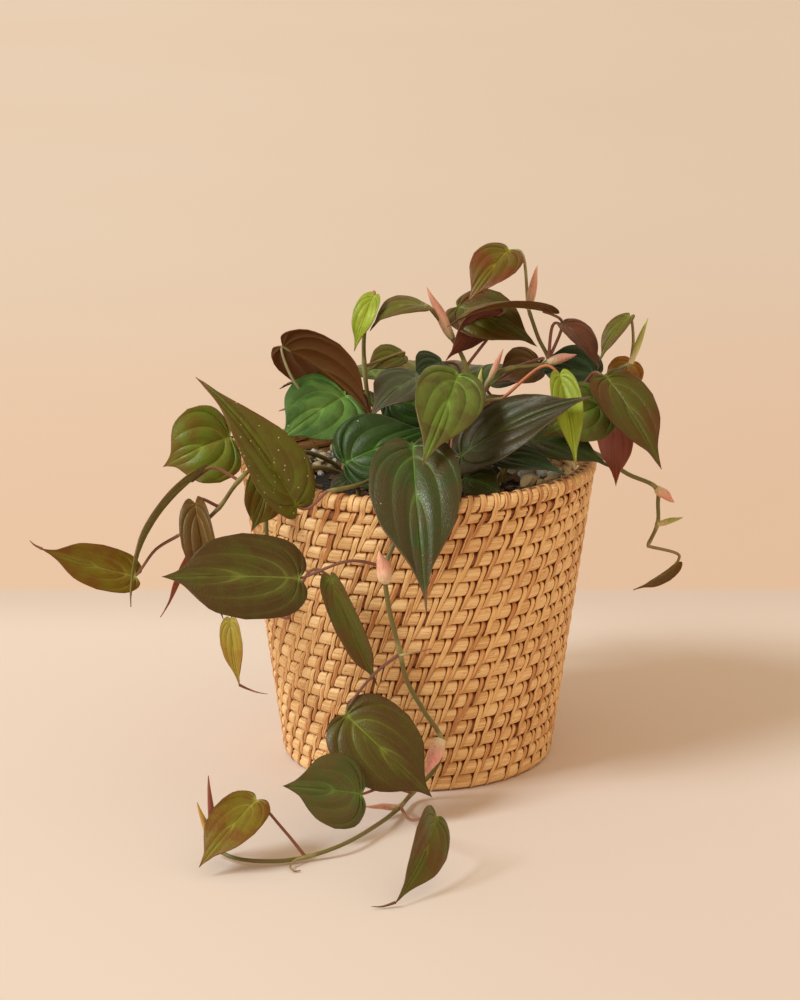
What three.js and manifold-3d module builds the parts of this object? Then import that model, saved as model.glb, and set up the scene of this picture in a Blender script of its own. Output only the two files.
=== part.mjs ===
// Velvet leaf philodendron growing in a coiled rattan basket.
// Millimetres, +Z up. The origin is the middle of the basket's underside, and -Y is the front.
import * as THREE from "three";
import { mergeVertices } from "three/addons/utils/BufferGeometryUtils.js";
import Module from "manifold-3d";

const wasm = await Module();
wasm.setup();

// Basket: coiled reed rows, the widest at the rim.
const BASKET_HEIGHT = 156;
const RIM_RADIUS = 90;
const FOOT_RADIUS = 69;
const ROWS = 21;
const RIM_ROW = 8;
const FOOT_ROW = 8.2;
const WALL = 8;
const SEAM_DEPTH = 1.5;
const FLOOR_THICK = 7;
const BASKET_SIDES = 28;

// Nursery pot that stands inside the basket.
const CLEARANCE = 0.3;
const POT_TOP = 134;
const POT_GAP = 1.2;
const POT_WALL = 1.4;
const POT_FLOOR = 2;
const DRAIN_HOLES = 5;
const DRAIN_RADIUS = 4;
const DRAIN_CIRCLE = 34;

// Potting soil: flat near the wall, heaped in the middle.
const SOIL_EDGE = 138;
const SOIL_CROWN = 142;
const HEAP_RADIUS = 54;
const CLOD = 1;
const STEM_BOTTOM = 122;
const HOLE_CLEARANCE = 0.9;
const HOLE_LENGTH = 40;

// Pumice and gravel that lie on the soil along the wall.
const STONES = 36;
const STONE_RADIUS = 9;
const STONE_TILT = 0.6;
const STONE_RING = 67;

// Leaf blade: half outline as [along the midrib, out to the side], in lengths and half widths.
const BLADE = 0.7;
const LOBE_BACK = [-0.07, 0.38];
const LOBE_SIDE = [0.08, 0.88];
const OUTLINE = [[0.34, 1], [0.6, 0.72], [0.81, 0.26]];
const STEM_RADIUS = 1.5;
const PETIOLE_RADIUS = 0.85;
const PETIOLE_SWING = 0.3;

const COLOURS = {
  rattan: new THREE.MeshStandardMaterial({ color: 0xd2a268, roughness: 0.6, metalness: 0 }),
  pot: new THREE.MeshStandardMaterial({ color: 0x2a2a2b, roughness: 0.5, metalness: 0 }),
  soil: new THREE.MeshStandardMaterial({ color: 0x2e231b, roughness: 1, metalness: 0 }),
  gravel: new THREE.MeshStandardMaterial({ color: 0x9a948a, roughness: 0.95, metalness: 0 }),
  leaf: new THREE.MeshStandardMaterial({ color: 0x3f4a2a, roughness: 0.6, metalness: 0 }),
};

// Leafy stems. Each rises from its root, [x, y] on the soil, through the points of its stem.
// A leaf is [stem point, base, tip, facing, width, arch, fold in degrees, tip curl], and may
// end with the point through which its petiole bends.
// A sheath is [stem point, tip, radius]: a pointed bud scale or a leaf that is still rolled.
const VINES = {
  vine_front: {
    root: [0, -42],
    stem: [
      [-2, -60, 163], [-7, -84, 162], [-10, -97, 154], [-11, -99, 139], [-16, -98, 125],
      [-15, -96, 108], [-9, -91, 80], [-6, -89, 66], [2, -87, 50], [11, -85, 34],
      [9, -82, 19], [-3, -82, 5], [-9, -97, 3.5], [-21, -126, 5], [-37, -150, 5],
      [-53, -158, 2.5], [-68, -163, 2.5], [-85, -162, 3.5], [-96, -154, 5],
    ],
    steps: 34,
    leaves: [
      [0, [-3, -68, 177], [3, -113, 112], [0, -0.86, 0.5], 46, 7, 14, 3],
      [4, [-57, -105, 122], [-121, -118, 126], [-0.05, -0.85, 0.5], 42, 6, 8, 3, [-33, -103, 130]],
      [6, [-37, -102, 51], [5, -110, 14], [-0.1, -0.8, 0.6], 42, 5, 10, 2, [-23, -97, 70]],
      [11, [-30, -124, 22], [-65, -141, 31], [0.05, -0.85, 0.5], 36, 3, 8, 2, [-16, -103, 16]],
      [12, [7, -170, 27], [-12, -211, 2], [0.6, -0.7, 0.3], 24, 4, 18, 1, [-4, -133, 11]],
      [15, [-76, -152, 28], [-101, -176, 4], [-0.3, -0.75, 0.6], 26, 3, 16, 2, [-63, -156, 15]],
    ],
    sheaths: [
      [4, [-20, -99, 142], 3], [9, [4, -91, 20], 3], [12, [-26, -112, 9], 1.6],
      [18, [-103, -163, 31], 1.6], [18, [-98, -160, 43], 1.6],
    ],
  },
  vine_left_front: {
    root: [-30, -30],
    stem: [
      [-46, -48, 161], [-61, -60, 161], [-72, -67, 152], [-74, -65, 127], [-75, -62, 104],
      [-64, -70, 91],
    ],
    steps: 11,
    leaves: [
      [5, [-42, -93, 118], [-19, -87, 64], [-0.5, -0.8, 0.25], 17, 3, 22, 3],
      [5, [-92, -64, 88], [-87, -67, 56], [-0.35, -0.9, 0.2], 13, 3, 24, 3],
      [1, [-74, -60, 166], [-84, -78, 137], [0.3, -0.9, 0.25], 27, 2, 10, 2],
    ],
    sheaths: [],
  },
  vine_left: {
    root: [-34, -10],
    stem: [
      [-54, -22, 162], [-76, -36, 162], [-88, -45, 154], [-97, -58, 144], [-105, -61, 137],
      [-117, -63, 131],
    ],
    steps: 11,
    leaves: [
      [1, [-94, -18, 170], [-130, -32, 158], [-0.1, -0.95, 0.3], 40, 3, 10, -3],
      [2, [-107, -44, 157], [-143, -84, 104], [-0.86, 0.05, 0.5], 22, 7, 24, -5],
      [5, [-139, -62, 110], [-183, -78, 128], [0, -0.8, 0.6], 24, 0, 14, 3, [-128, -63, 124]],
      [3, [-108, -64, 147], [-94, -80, 94], [-0.3, -0.9, 0.25], 22, 4, 36, 2],
      [4, [-107, -52, 124], [-123, -56, 85], [-0.5, 0.3, 0.6], 10, 2, 30, 5],
    ],
    sheaths: [],
  },
  vine_rim_left: {
    root: [-19, -38],
    stem: [[-20, -60, 159.5], [-29, -78, 160.5], [-44, -84, 159]],
    steps: 8,
    leaves: [
      [2, [-59, -83, 152], [-104, -76, 214], [0.35, -0.75, 0.5], 36, 7, 26, -5],
      [0, [-34, -58, 165], [-6, -49, 172], [0, -0.6, 0.8], 34, 4, 8, 1],
      [0, [-34, -58, 158], [-44, -63, 151], [-0.2, -0.7, 0.6], 11, 1, 10, 1],
    ],
    sheaths: [],
  },
  vine_mid_left: {
    root: [-22, 2],
    stem: [[-24, 3, 172], [-27, 5, 200], [-27, 4, 217], [-23, 2, 237]],
    steps: 9,
    leaves: [
      [0, [-36, -23, 191], [-68, -48, 174], [-0.1, -0.8, 0.6], 43, 4, 10, 2],
      [0, [-67, -22, 216], [-24, -33, 181], [0.3, 0.8, 0.35], 38, 6, 12, 3],
      [3, [-22, -1, 237], [-31, -6, 210], [-0.5, -0.85, 0.1], 14, 3, 24, 2, [-22, 1, 239]],
      [1, [-8, 18, 203], [-27, 10, 195], [0.1, -0.5, 0.85], 18, 3, 16, 1],
    ],
    sheaths: [],
  },
  vine_top_left: {
    root: [20, 6],
    stem: [[24, 6, 176], [24, 4, 200], [17, 4, 215], [11, 2, 224], [5, 0, 232]],
    steps: 10,
    leaves: [
      [4, [3, 0, 232], [-24, -8, 221], [0, -0.2, 1], 22, 6, 10, 0],
      [1, [20, 16, 228], [59, 3, 209], [0.1, -0.65, 0.75], 33, 6, 10, 3],
      [1, [44, 9, 225], [15, -7, 203], [-0.55, 0.35, 0.75], 24, 3, 16, 2],
      [0, [0, -14, 199], [-23, -34, 183], [-0.3, -0.6, 0.75], 30, 3, 12, 1],
      [0, [12, 16, 200], [-2, 8, 193], [-0.2, -0.6, 0.8], 22, 2, 12, 1],
    ],
    sheaths: [[2, [4, 0, 241], 2.6]],
  },
  vine_top: {
    root: [30, -10],
    stem: [
      [31, -8, 180], [36, -5, 196], [46, -4, 201], [56, -4, 202], [65, -2, 204], [60, 0, 216],
      [55, 2, 230],
    ],
    steps: 14,
    leaves: [
      [6, [45, 4, 259], [25, -14, 236], [-0.35, -0.8, 0.5], 26, 4, 12, 2],
      [4, [66, -3, 229], [14, -13, 226], [0, 0.2, 1], 27, 5, 20, -2],
      [4, [72, -7, 224], [88, -15, 202], [0.3, -0.4, 0.85], 20, 4, 22, 3],
      [2, [54, 18, 196], [37, 14, 194], [0, 0.35, 0.9], 24, 4, 16, 1],
    ],
    sheaths: [[6, [59, 2, 252], 2.2], [4, [79, -4, 208], 2.4], [1, [42, -10, 212], 1.5]],
  },
  vine_centre: {
    root: [8, -28],
    stem: [[12, -30, 162], [17, -32, 176]],
    steps: 6,
    leaves: [
      [1, [19, -40, 205], [1, -87, 171], [0.2, -0.7, 0.7], 36, 5, 16, 2],
      [1, [21, -44, 166], [84, -57, 198], [-0.2, -0.65, 0.75], 36, 5, 14, 2],
      [0, [24, -50, 157], [41, -64, 151], [0, -0.7, 0.7], 20, 2, 10, 1],
    ],
    sheaths: [],
  },
  vine_centre_right: {
    root: [24, -24],
    stem: [[24, -26, 172], [28, -28, 188], [41, -32, 192]],
    steps: 8,
    leaves: [
      [2, [69, -38, 205], [76, -57, 163], [0.1, -0.9, 0.2], 18, 3, 34, 3],
    ],
    sheaths: [[1, [31, -26, 206], 1.8]],
  },
  vine_right_top: {
    root: [44, 4],
    stem: [[60, 2, 170], [80, -3, 188], [97, -4, 199], [106, -6, 204]],
    steps: 9,
    leaves: [
      [3, [105, -8, 228], [91, -18, 206], [-0.4, -0.4, 0.8], 14, 3, 24, 3, [107, -7, 216]],
      [3, [107, 2, 203], [97, 0, 184], [0.1, -0.85, 0.5], 17, 2, 14, 1],
      [1, [88, -16, 197], [118, -44, 157], [0.45, -0.55, 0.7], 29, 4, 16, 3],
      [1, [97, -12, 178], [98, -22, 145], [0.3, 0.85, 0.3], 20, 3, 14, 2],
      [0, [84, -20, 188], [101, -32, 168], [0.2, -0.65, 0.75], 30, 2, 10, 1],
      [1, [91, 0, 190], [58, 6, 190], [0.1, -0.5, 0.85], 24, 3, 14, 1],
    ],
    sheaths: [[3, [114, -6, 227], 1.6]],
  },
  vine_right: {
    root: [40, -14],
    stem: [
      [56, -10, 162], [76, -6, 162.5], [91, -2, 156], [106, -2, 146], [121, 0, 138],
      [122, 0, 129], [122, 0, 119], [117, -2, 108],
    ],
    steps: 16,
    leaves: [
      [7, [133, 2, 98], [109, -8, 89], [0.3, 0.2, -0.9], 11, 3, 30, 3],
    ],
    sheaths: [[4, [130, -2, 131], 2.6], [6, [134, -6, 124], 1.5]],
  },
  vine_low_right: {
    root: [38, -34],
    stem: [[42, -36, 158]],
    steps: 4,
    leaves: [
      [0, [55, -28, 170], [94, -38, 158], [0.2, -0.45, 0.85], 28, 4, 14, 1],
      [0, [37, -47, 166], [71, -60, 160], [0, -0.4, 0.9], 20, 3, 14, 1],
    ],
    sheaths: [],
  },
};

// Leafy stems on the far side, each in its own sector, as [direction in degrees, trails].
const FAR_SIDE = [[28, false], [56, false], [84, true], [112, true], [146, false]];

const turn = 2 * Math.PI;
const v = (p) => new THREE.Vector3(...p);

// A small generator of repeatable numbers from 0 to 1.
function draws(seed) {
  let state = seed;
  return () => {
    state = (state * 16807) % 2147483647;
    return state / 2147483647;
  };
}

// A closed geometry as a solid, turned the right way out.
function solid(geometry) {
  const bare = geometry.index ? geometry.toNonIndexed() : geometry;
  for (const name of Object.keys(bare.attributes)) {
    if (name !== "position") bare.deleteAttribute(name);
  }
  const merged = mergeVertices(bare, 1e-3);
  const triVerts = new Uint32Array(merged.index.array);
  const mesh = { numProp: 3, vertProperties: merged.attributes.position.array, triVerts };
  const made = new wasm.Manifold(new wasm.Mesh(mesh));
  if (made.volume() > 0) return made;
  for (let i = 0; i < triVerts.length; i += 3) {
    [triVerts[i + 1], triVerts[i + 2]] = [triVerts[i + 2], triVerts[i + 1]];
  }
  return new wasm.Manifold(new wasm.Mesh(mesh));
}

// A solid as a named mesh.
function node(name, body, material) {
  const out = body.getMesh();
  const geometry = new THREE.BufferGeometry();
  const places = new Float32Array(out.numVert * 3);
  for (let i = 0; i < out.numVert; i++) {
    places.set(out.vertProperties.subarray(i * out.numProp, i * out.numProp + 3), i * 3);
  }
  geometry.setAttribute("position", new THREE.BufferAttribute(places, 3));
  geometry.setIndex(new THREE.BufferAttribute(new Uint32Array(out.triVerts), 1));
  geometry.computeVertexNormals();
  const mesh = new THREE.Mesh(geometry, material);
  mesh.name = name;
  return mesh;
}

// A profile of [radius, height] turned round the upright axis.
function turned(profile, sides) {
  const points = profile.map(([r, z]) => new THREE.Vector2(r, z));
  return solid(new THREE.LatheGeometry(points, sides).rotateX(Math.PI / 2));
}

// A round rod of a few sides along a smooth curve through the points.
function rod(points, radius, sides, steps) {
  const section = new THREE.Shape();
  for (let i = 0; i < sides; i++) {
    const a = (i / sides) * turn;
    if (i) section.lineTo(radius * Math.cos(a), radius * Math.sin(a));
    else section.moveTo(radius, 0);
  }
  const extrudePath = new THREE.CatmullRomCurve3(points, false, "centripetal");
  return solid(new THREE.ExtrudeGeometry(section, { steps, extrudePath }));
}

const wallRadius = (z) => FOOT_RADIUS + ((RIM_RADIUS - FOOT_RADIUS) * z) / BASKET_HEIGHT;
const insideRadius = (z) => wallRadius(z) - WALL;

// Coiled basket: each row is a ridge, with a groove where it meets the next one.
function basket() {
  const pitch = (BASKET_HEIGHT - RIM_ROW - FOOT_ROW) / (ROWS - 2);
  const profile = [[0, 0], [FOOT_RADIUS - 5, 0], [FOOT_RADIUS - 1, 1.6]];
  for (let row = 0; row < ROWS - 1; row++) {
    const low = row ? FOOT_ROW + (row - 1) * pitch : 0;
    const high = FOOT_ROW + row * pitch;
    profile.push([wallRadius((low + high) / 2), (low + high) / 2]);
    profile.push([wallRadius(high) - SEAM_DEPTH, high]);
  }
  const rim = BASKET_HEIGHT - RIM_ROW;
  profile.push([RIM_RADIUS, rim + 3.6]);
  profile.push([RIM_RADIUS - 2, BASKET_HEIGHT - 0.8]);
  profile.push([RIM_RADIUS - 4, BASKET_HEIGHT]);
  profile.push([RIM_RADIUS - 6.5, BASKET_HEIGHT - 1]);
  profile.push([insideRadius(rim), rim + 3]);
  profile.push([insideRadius(rim) - 0.2, rim]);
  profile.push([insideRadius(FLOOR_THICK), FLOOR_THICK]);
  profile.push([0, FLOOR_THICK]);
  return turned(profile, BASKET_SIDES);
}

// Thin plastic pot that carries the soil, with holes in its floor for the water.
function nurseryPot() {
  const foot = FLOOR_THICK + CLEARANCE;
  const out = (z) => insideRadius(z) - POT_GAP;
  let pot = turned([
    [0, foot], [out(foot), foot], [out(POT_TOP), POT_TOP], [out(POT_TOP) - POT_WALL, POT_TOP],
    [out(foot) - POT_WALL, foot + POT_FLOOR], [0, foot + POT_FLOOR],
  ], BASKET_SIDES);
  for (let i = 0; i < DRAIN_HOLES; i++) {
    const hole = new THREE.CylinderGeometry(DRAIN_RADIUS, DRAIN_RADIUS, 4 * POT_FLOOR, 8);
    const a = (i / DRAIN_HOLES) * turn;
    hole.rotateX(Math.PI / 2);
    hole.translate(DRAIN_CIRCLE * Math.cos(a), DRAIN_CIRCLE * Math.sin(a), foot);
    pot = pot.subtract(solid(hole));
  }
  return pot;
}

// Height of the soil's surface: flat at the wall, heaped and cloddy in the middle.
function soilHeight(x, y) {
  const share = Math.max(0, 1 - Math.hypot(x, y) / HEAP_RADIUS);
  const heap = (SOIL_CROWN - SOIL_EDGE) * Math.min(1, 1.6 * share);
  const clods = Math.sin(0.37 * x + 1.3) * Math.cos(0.31 * y) + 0.6 * Math.sin(0.23 * (x - y));
  return SOIL_EDGE + heap + CLOD * clods * Math.min(1, 3 * share);
}

// Soil that fills the pot and spreads over its edge to the basket's wall.
function soil(roots) {
  const foot = FLOOR_THICK + POT_FLOOR + 2 * CLEARANCE;
  const inner = (z) => insideRadius(z) - POT_GAP - POT_WALL - CLEARANCE;
  const spread = insideRadius(SOIL_EDGE) - 1;
  const profile = [[0, foot], [inner(foot), foot], [inner(POT_TOP), POT_TOP + CLEARANCE]];
  profile.push([spread, POT_TOP + CLEARANCE], [spread, SOIL_EDGE]);
  for (const r of [HEAP_RADIUS, 42, 28, 14, 0]) profile.push([r, SOIL_EDGE + 1]);
  const points = profile.map(([r, z]) => new THREE.Vector2(r, z));
  const shape = new THREE.LatheGeometry(points, BASKET_SIDES).rotateX(Math.PI / 2);
  const place = shape.attributes.position;
  for (let i = 0; i < place.count; i++) {
    if (place.getZ(i) > SOIL_EDGE + 0.5) {
      place.setZ(i, soilHeight(place.getX(i), place.getY(i)));
    }
  }
  let body = solid(shape);
  for (const [x, y] of roots) {
    const radius = STEM_RADIUS + HOLE_CLEARANCE;
    const hole = new THREE.CylinderGeometry(radius, radius, HOLE_LENGTH, 5);
    hole.rotateX(Math.PI / 2).translate(x, y, STEM_BOTTOM - CLEARANCE + HOLE_LENGTH / 2);
    body = body.subtract(solid(hole));
  }
  return body;
}

// A ring of stones that touch one another, cut flat where they lie on the soil.
function gravel() {
  const next = draws(11);
  const stones = [];
  for (let i = 0; i < STONES; i++) {
    const a = (i / STONES) * turn;
    const r = STONE_RING + 2 * (next() - 0.5);
    const stone = new THREE.OctahedronGeometry(STONE_RADIUS, 0);
    stone.rotateX(STONE_TILT * (next() - 0.5)).rotateY(STONE_TILT * (next() - 0.5));
    stone.rotateZ(a + STONE_TILT * (next() - 0.5));
    stone.scale(1, 1, 0.7 + 0.25 * next());
    stone.translate(r * Math.cos(a), r * Math.sin(a), SOIL_EDGE + 1.5);
    stones.push(solid(stone));
  }
  const under = new THREE.BoxGeometry(200, 200, 20);
  under.translate(0, 0, SOIL_EDGE + CLEARANCE - 10);
  return wasm.Manifold.union(stones).subtract(solid(under));
}

// A heart-shaped blade from its base to its tip: the midrib arches towards the face, the two
// halves fold up along it, and the end of the tip curls.
function blade(base, tip, facing, width, arch, fold, curl) {
  const along = tip.clone().sub(base);
  const length = along.length();
  const d = along.clone().normalize();
  const up = facing.clone().addScaledVector(d, -facing.dot(d)).normalize();
  const side = new THREE.Vector3().crossVectors(d, up);
  const lift = Math.sin((fold * Math.PI) / 180);
  const spread = Math.cos((fold * Math.PI) / 180);
  const half = width / 2;
  const place = (a, b) => {
    const t = Math.max(a, 0);
    const rise = 4 * arch * t * (1 - t) + (a < 0 ? 4 * arch * a : 0) + curl * t ** 4;
    const out = Math.abs(b) * half;
    return base.clone().addScaledVector(d, a * length)
      .addScaledVector(side, b * half * spread)
      .addScaledVector(up, rise + out * lift - 0.12 * out * Math.abs(b));
  };
  const spots = [[0, 0]];
  for (const [a] of OUTLINE) spots.push([a, 0]);
  spots.push([1, 0]);
  for (const s of [1, -1]) {
    for (const [a, b] of [LOBE_BACK, LOBE_SIDE, ...OUTLINE]) spots.push([a, b * s]);
  }
  const last = OUTLINE.length + 1;
  const edges = [last + 1, last + 3 + OUTLINE.length];
  const faces = [];
  edges.forEach((first, k) => {
    const tri = (a, b, c) => faces.push(k ? [a, c, b] : [a, b, c]);
    tri(0, first, first + 1);
    tri(0, first + 1, first + 2);
    tri(0, first + 2, 1);
    for (let i = 1; i < last - 1; i++) {
      tri(i, first + 1 + i, first + 2 + i);
      tri(i, first + 2 + i, i + 1);
    }
    tri(last - 1, first + last, last);
  });
  const rimOrder = [0];
  for (let i = 0; i < OUTLINE.length + 2; i++) rimOrder.push(edges[0] + i);
  rimOrder.push(last);
  for (let i = OUTLINE.length + 1; i >= 0; i--) rimOrder.push(edges[1] + i);
  const count = spots.length;
  for (const [a, b, c] of [...faces]) faces.push([a + count, c + count, b + count]);
  rimOrder.forEach((a, i) => {
    const b = rimOrder[(i + 1) % rimOrder.length];
    faces.push([b, a, a + count], [b, a + count, b + count]);
  });
  const places = [];
  for (const h of [BLADE / 2, -BLADE / 2]) {
    for (const [a, b] of spots) places.push(...place(a, b).addScaledVector(up, h).toArray());
  }
  const geometry = new THREE.BufferGeometry();
  geometry.setAttribute("position", new THREE.Float32BufferAttribute(places, 3));
  geometry.setIndex(faces.flat());
  return { body: solid(geometry), midrib: (t) => place(t, 0) };
}

// A leaf with its petiole, which leaves the stem and runs on into the blade's midrib.
function leaf(entry, from) {
  const [, baseAt, tipAt, face, width, arch, fold, curl, elbowAt] = entry;
  const base = v(baseAt);
  const tip = v(tipAt);
  const { body, midrib } = blade(base, tip, v(face), width, arch, fold, curl);
  const d = tip.clone().sub(base).normalize();
  const swing = PETIOLE_SWING * base.distanceTo(from);
  const elbow = elbowAt ? v(elbowAt) : base.clone().addScaledVector(d, -swing).lerp(from, 0.2);
  return [rod([from, elbow, base, midrib(0.08)], PETIOLE_RADIUS, 3, 4), body];
}

// A pointed scale that stands on the stem.
function sheath(from, tip, radius) {
  const along = tip.clone().sub(from);
  const length = along.length();
  const profile = [[0, -1], [radius, 0.3 * length], [radius * 0.5, 0.7 * length], [0, length]];
  const points = profile.map(([r, z]) => new THREE.Vector2(r, z));
  const shape = new THREE.LatheGeometry(points, 4);
  const turnTo = new THREE.Quaternion();
  turnTo.setFromUnitVectors(new THREE.Vector3(0, 1, 0), along.normalize());
  shape.applyQuaternion(turnTo);
  shape.translate(from.x, from.y, from.z);
  return solid(shape);
}

// One leafy stem: stem, petioles, blades and sheaths grown into one body.
function leafyStem({ root: [x, y], stem, steps, leaves, sheaths }) {
  const points = stem.map(v);
  const buried = [STEM_BOTTOM, SOIL_CROWN - 1, SOIL_CROWN + 4].map((z) => v([x, y, z]));
  const grown = [rod([...buried, ...points], STEM_RADIUS, 4, steps)];
  for (const entry of leaves) grown.push(...leaf(entry, points[entry[0]]));
  for (const [at, tip, radius] of sheaths) grown.push(sheath(points[at], v(tip), radius));
  return wasm.Manifold.union(grown);
}

// A leafy stem on the far side, with leaves that stand out in its own sector.
function farStem(direction, trails, next) {
  const a = (direction * Math.PI) / 180;
  const at = (r, z, swing = 0) => {
    const b = a + swing;
    return [r * Math.cos(b), r * Math.sin(b), z];
  };
  const stem = [at(42, 162), at(54, 172)];
  if (trails) stem.push(at(74, 172), at(92, 164), at(100, 146), at(100, 118));
  const leaves = [
    [0, at(60, 166, -0.2), at(104, 158 + 4 * next(), -0.2), at(0.45, 0.9), 32, 4, 12, 2],
    [1, at(44, 186, 0.1), at(78, 180 + 4 * next(), 0.16), at(0.3, 0.95), 30, 5, 12, 2],
    [0, at(33, 176, -0.2), at(50, 180 + 2 * next(), -0.14), at(0.2, 0.98), 15, 2, 12, 1],
  ];
  if (trails) {
    leaves.push([4, at(108, 148, 0.1), at(126, 112, 0.16), at(0.9, 0.4), 32, 4, 14, 3]);
    leaves.push([5, at(106, 104, -0.06), at(112, 64, -0.1), at(0.95, 0.2), 26, 4, 16, 3]);
  }
  return { root: at(30, 0).slice(0, 2), stem, steps: trails ? 13 : 6, leaves, sheaths: [] };
}

const plant = new THREE.Group();
const next = draws(29);
const stems = { ...VINES };
FAR_SIDE.forEach(([direction, trails], i) => {
  stems[`vine_back_${i + 1}`] = farStem(direction, trails, next);
});
plant.add(node("basket", basket(), COLOURS.rattan));
plant.add(node("nursery_pot", nurseryPot(), COLOURS.pot));
const roots = Object.values(stems).map(({ root }) => root);
plant.add(node("potting_soil", soil(roots), COLOURS.soil));
plant.add(node("gravel", gravel(), COLOURS.gravel));
for (const [name, parts] of Object.entries(stems)) {
  plant.add(node(name, leafyStem(parts), COLOURS.leaf));
}

export default plant;
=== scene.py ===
"""Velvet leaf philodendron in a coiled rattan basket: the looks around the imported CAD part.

Metres, +Z up, -Y is the front. Tables of places are in millimetres. The basket is coiled reed
bound with strips. Each leafy stem follows the points of its CAD node, and a few of its leaves
stand some millimetres from their CAD place, where they fit the photograph better.
"""

import math
from collections import namedtuple

import bpy
import numpy as np
from bpy.props import FloatProperty, FloatVectorProperty, IntProperty, PointerProperty
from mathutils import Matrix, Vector, noise


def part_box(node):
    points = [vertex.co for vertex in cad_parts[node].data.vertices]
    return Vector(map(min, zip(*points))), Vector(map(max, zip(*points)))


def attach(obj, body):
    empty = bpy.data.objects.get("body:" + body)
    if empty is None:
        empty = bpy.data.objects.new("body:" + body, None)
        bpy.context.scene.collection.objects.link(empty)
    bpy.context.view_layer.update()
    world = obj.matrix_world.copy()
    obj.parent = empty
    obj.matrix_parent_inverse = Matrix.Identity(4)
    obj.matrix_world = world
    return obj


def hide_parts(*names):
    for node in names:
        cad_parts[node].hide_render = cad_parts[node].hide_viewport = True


bl_info = {
    "name": "Velvet leaf philodendron in a rattan basket",
    "version": (1, 0, 0),
    "blender": (4, 5, 0),
    "location": "3D View > Sidebar > Plant",
    "description": "A trailing velvet leaf philodendron in a coiled rattan basket",
    "category": "Object",
}

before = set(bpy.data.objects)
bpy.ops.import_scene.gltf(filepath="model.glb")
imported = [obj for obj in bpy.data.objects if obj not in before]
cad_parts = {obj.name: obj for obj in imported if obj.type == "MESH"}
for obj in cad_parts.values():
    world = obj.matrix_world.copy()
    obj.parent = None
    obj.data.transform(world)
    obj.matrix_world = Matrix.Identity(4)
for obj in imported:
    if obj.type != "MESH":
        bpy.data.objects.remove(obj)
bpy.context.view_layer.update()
MM = 0.001
TURN = 2 * math.pi
VEIN_STEP = 0.2  # Share of the way round a leaf's margin from one side vein to the next.
BLADE_SPAN = 0.1  # Metres of a leaf's width that its flat map spans.


def to_linear(shade):
    """A colour given as 0 to 255 on the screen, as the linear values that shaders take."""
    out = []
    for level in shade:
        c = level / 255
        out.append(c / 12.92 if c <= 0.04045 else ((c + 0.055) / 1.055) ** 2.4)
    return tuple(out)


def length(name, text, value):
    return FloatProperty(
        name=name, description=text, default=value, min=0, unit="LENGTH", subtype="DISTANCE"
    )


def share(name, text, value):
    return FloatProperty(name=name, description=text, default=value, min=0, max=1, subtype="FACTOR")


def paint(name, text, value):
    return FloatVectorProperty(
        name=name, description=text, default=to_linear(value), size=3, min=0, max=1,
        subtype="COLOR",
    )


# Settings.


class BasketSettings(bpy.types.PropertyGroup):
    height: length("Height", "Floor to the top of the rim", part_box("basket")[1].z)
    rim_radius: length("Rim radius", "Outside radius at the rim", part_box("basket")[1].x)
    foot_radius: length("Foot radius", "Outside radius at the foot", 0.069)
    strip_width: length("Strip width", "Width of a binding strip half way up", 0.0024)
    strip_thickness: length("Strip thickness", "Thickness of a binding strip", 0.00045)
    strips: IntProperty(name="Strips", description="Binding strips in each row", default=43, min=8)
    reed: paint("Reed", "Colour of the coiled reed", (252, 211, 154))
    reed_dark: paint("Reed shade", "Darker fibres of the reed", (216, 162, 98))
    strip: paint("Strip", "Colour of the binding strips", (246, 198, 134))
    strip_dark: paint("Strip shade", "Darker strips", (184, 114, 58))
    # The seam colour is stain with painted shade: it darkens the seams between rows and the creases
    # beside the strips, and tints the dark flecks.
    seam: paint("Seam", "Stain in the seams between rows", (122, 50, 4))


class SoilSettings(bpy.types.PropertyGroup):
    soil: paint("Soil", "Colour of the potting soil", (48, 36, 28))
    bark: paint("Bark", "Colour of the bark chips", (128, 88, 46))
    stones: IntProperty(name="Stones", description="Stones on the soil", default=400, min=0)
    stone_radius: length("Stone radius", "Radius of a middling stone", 0.0036)


class LeafSettings(bpy.types.PropertyGroup):
    thickness: length("Thickness", "Thickness of a leaf blade", 0.00045)
    quilting: share("Quilting", "Bulge between veins, as a share of the leaf's width", 0.027)
    velvet: share("Velvet", "Strength of the velvet sheen", 0.035)


class StemSettings(bpy.types.PropertyGroup):
    stem_radius: length("Stem radius", "Radius of a leafy stem", 0.00122)
    petiole_radius: length("Petiole radius", "Radius of a leaf stalk", 0.0007)
    stem: paint("Stem", "Colour of the stems", (104, 98, 38))
    petiole: paint("Petiole", "Colour of the leaf stalks", (138, 76, 54))
    sheath: paint("Sheath", "Fold lines of the papery sheaths", (170, 96, 84))


class StageSettings(bpy.types.PropertyGroup):
    floor: paint("Floor", "Colour of the floor", (229, 214, 204))
    wall: paint("Wall", "Colour of the backdrop", (222, 201, 184))
    sun: FloatProperty(name="Key light", description="Strength of the key light", default=2.2)
    fill: FloatProperty(name="Fill light", description="Strength of the fill light", default=0.77)


SETTINGS = {
    "plant_basket": BasketSettings,
    "plant_soil": SoilSettings,
    "plant_leaf": LeafSettings,
    "plant_stem": StemSettings,
    "plant_stage": StageSettings,
}


# Meshes.


def deselect():
    for o in bpy.context.selected_objects:
        o.select_set(False)


def select_only(obj):
    deselect()
    obj.select_set(True)
    bpy.context.view_layer.objects.active = obj


def linked(name, data):
    """A new object of the scene for a mesh, curve, camera or light."""
    obj = bpy.data.objects.new(name, data)
    bpy.context.collection.objects.link(obj)
    return obj


def apply_modifier(obj, kind, **options):
    """Adds a modifier to the active object and applies it."""
    bpy.ops.object.modifier_add(type=kind)
    modifier = obj.modifiers[-1]
    for key, value in options.items():
        setattr(modifier, key, value)
    bpy.ops.object.modifier_apply(modifier=modifier.name)


def points_of(mesh):
    co = np.empty(len(mesh.vertices) * 3)
    mesh.vertices.foreach_get("co", co)
    return co.reshape(-1, 3)


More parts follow.
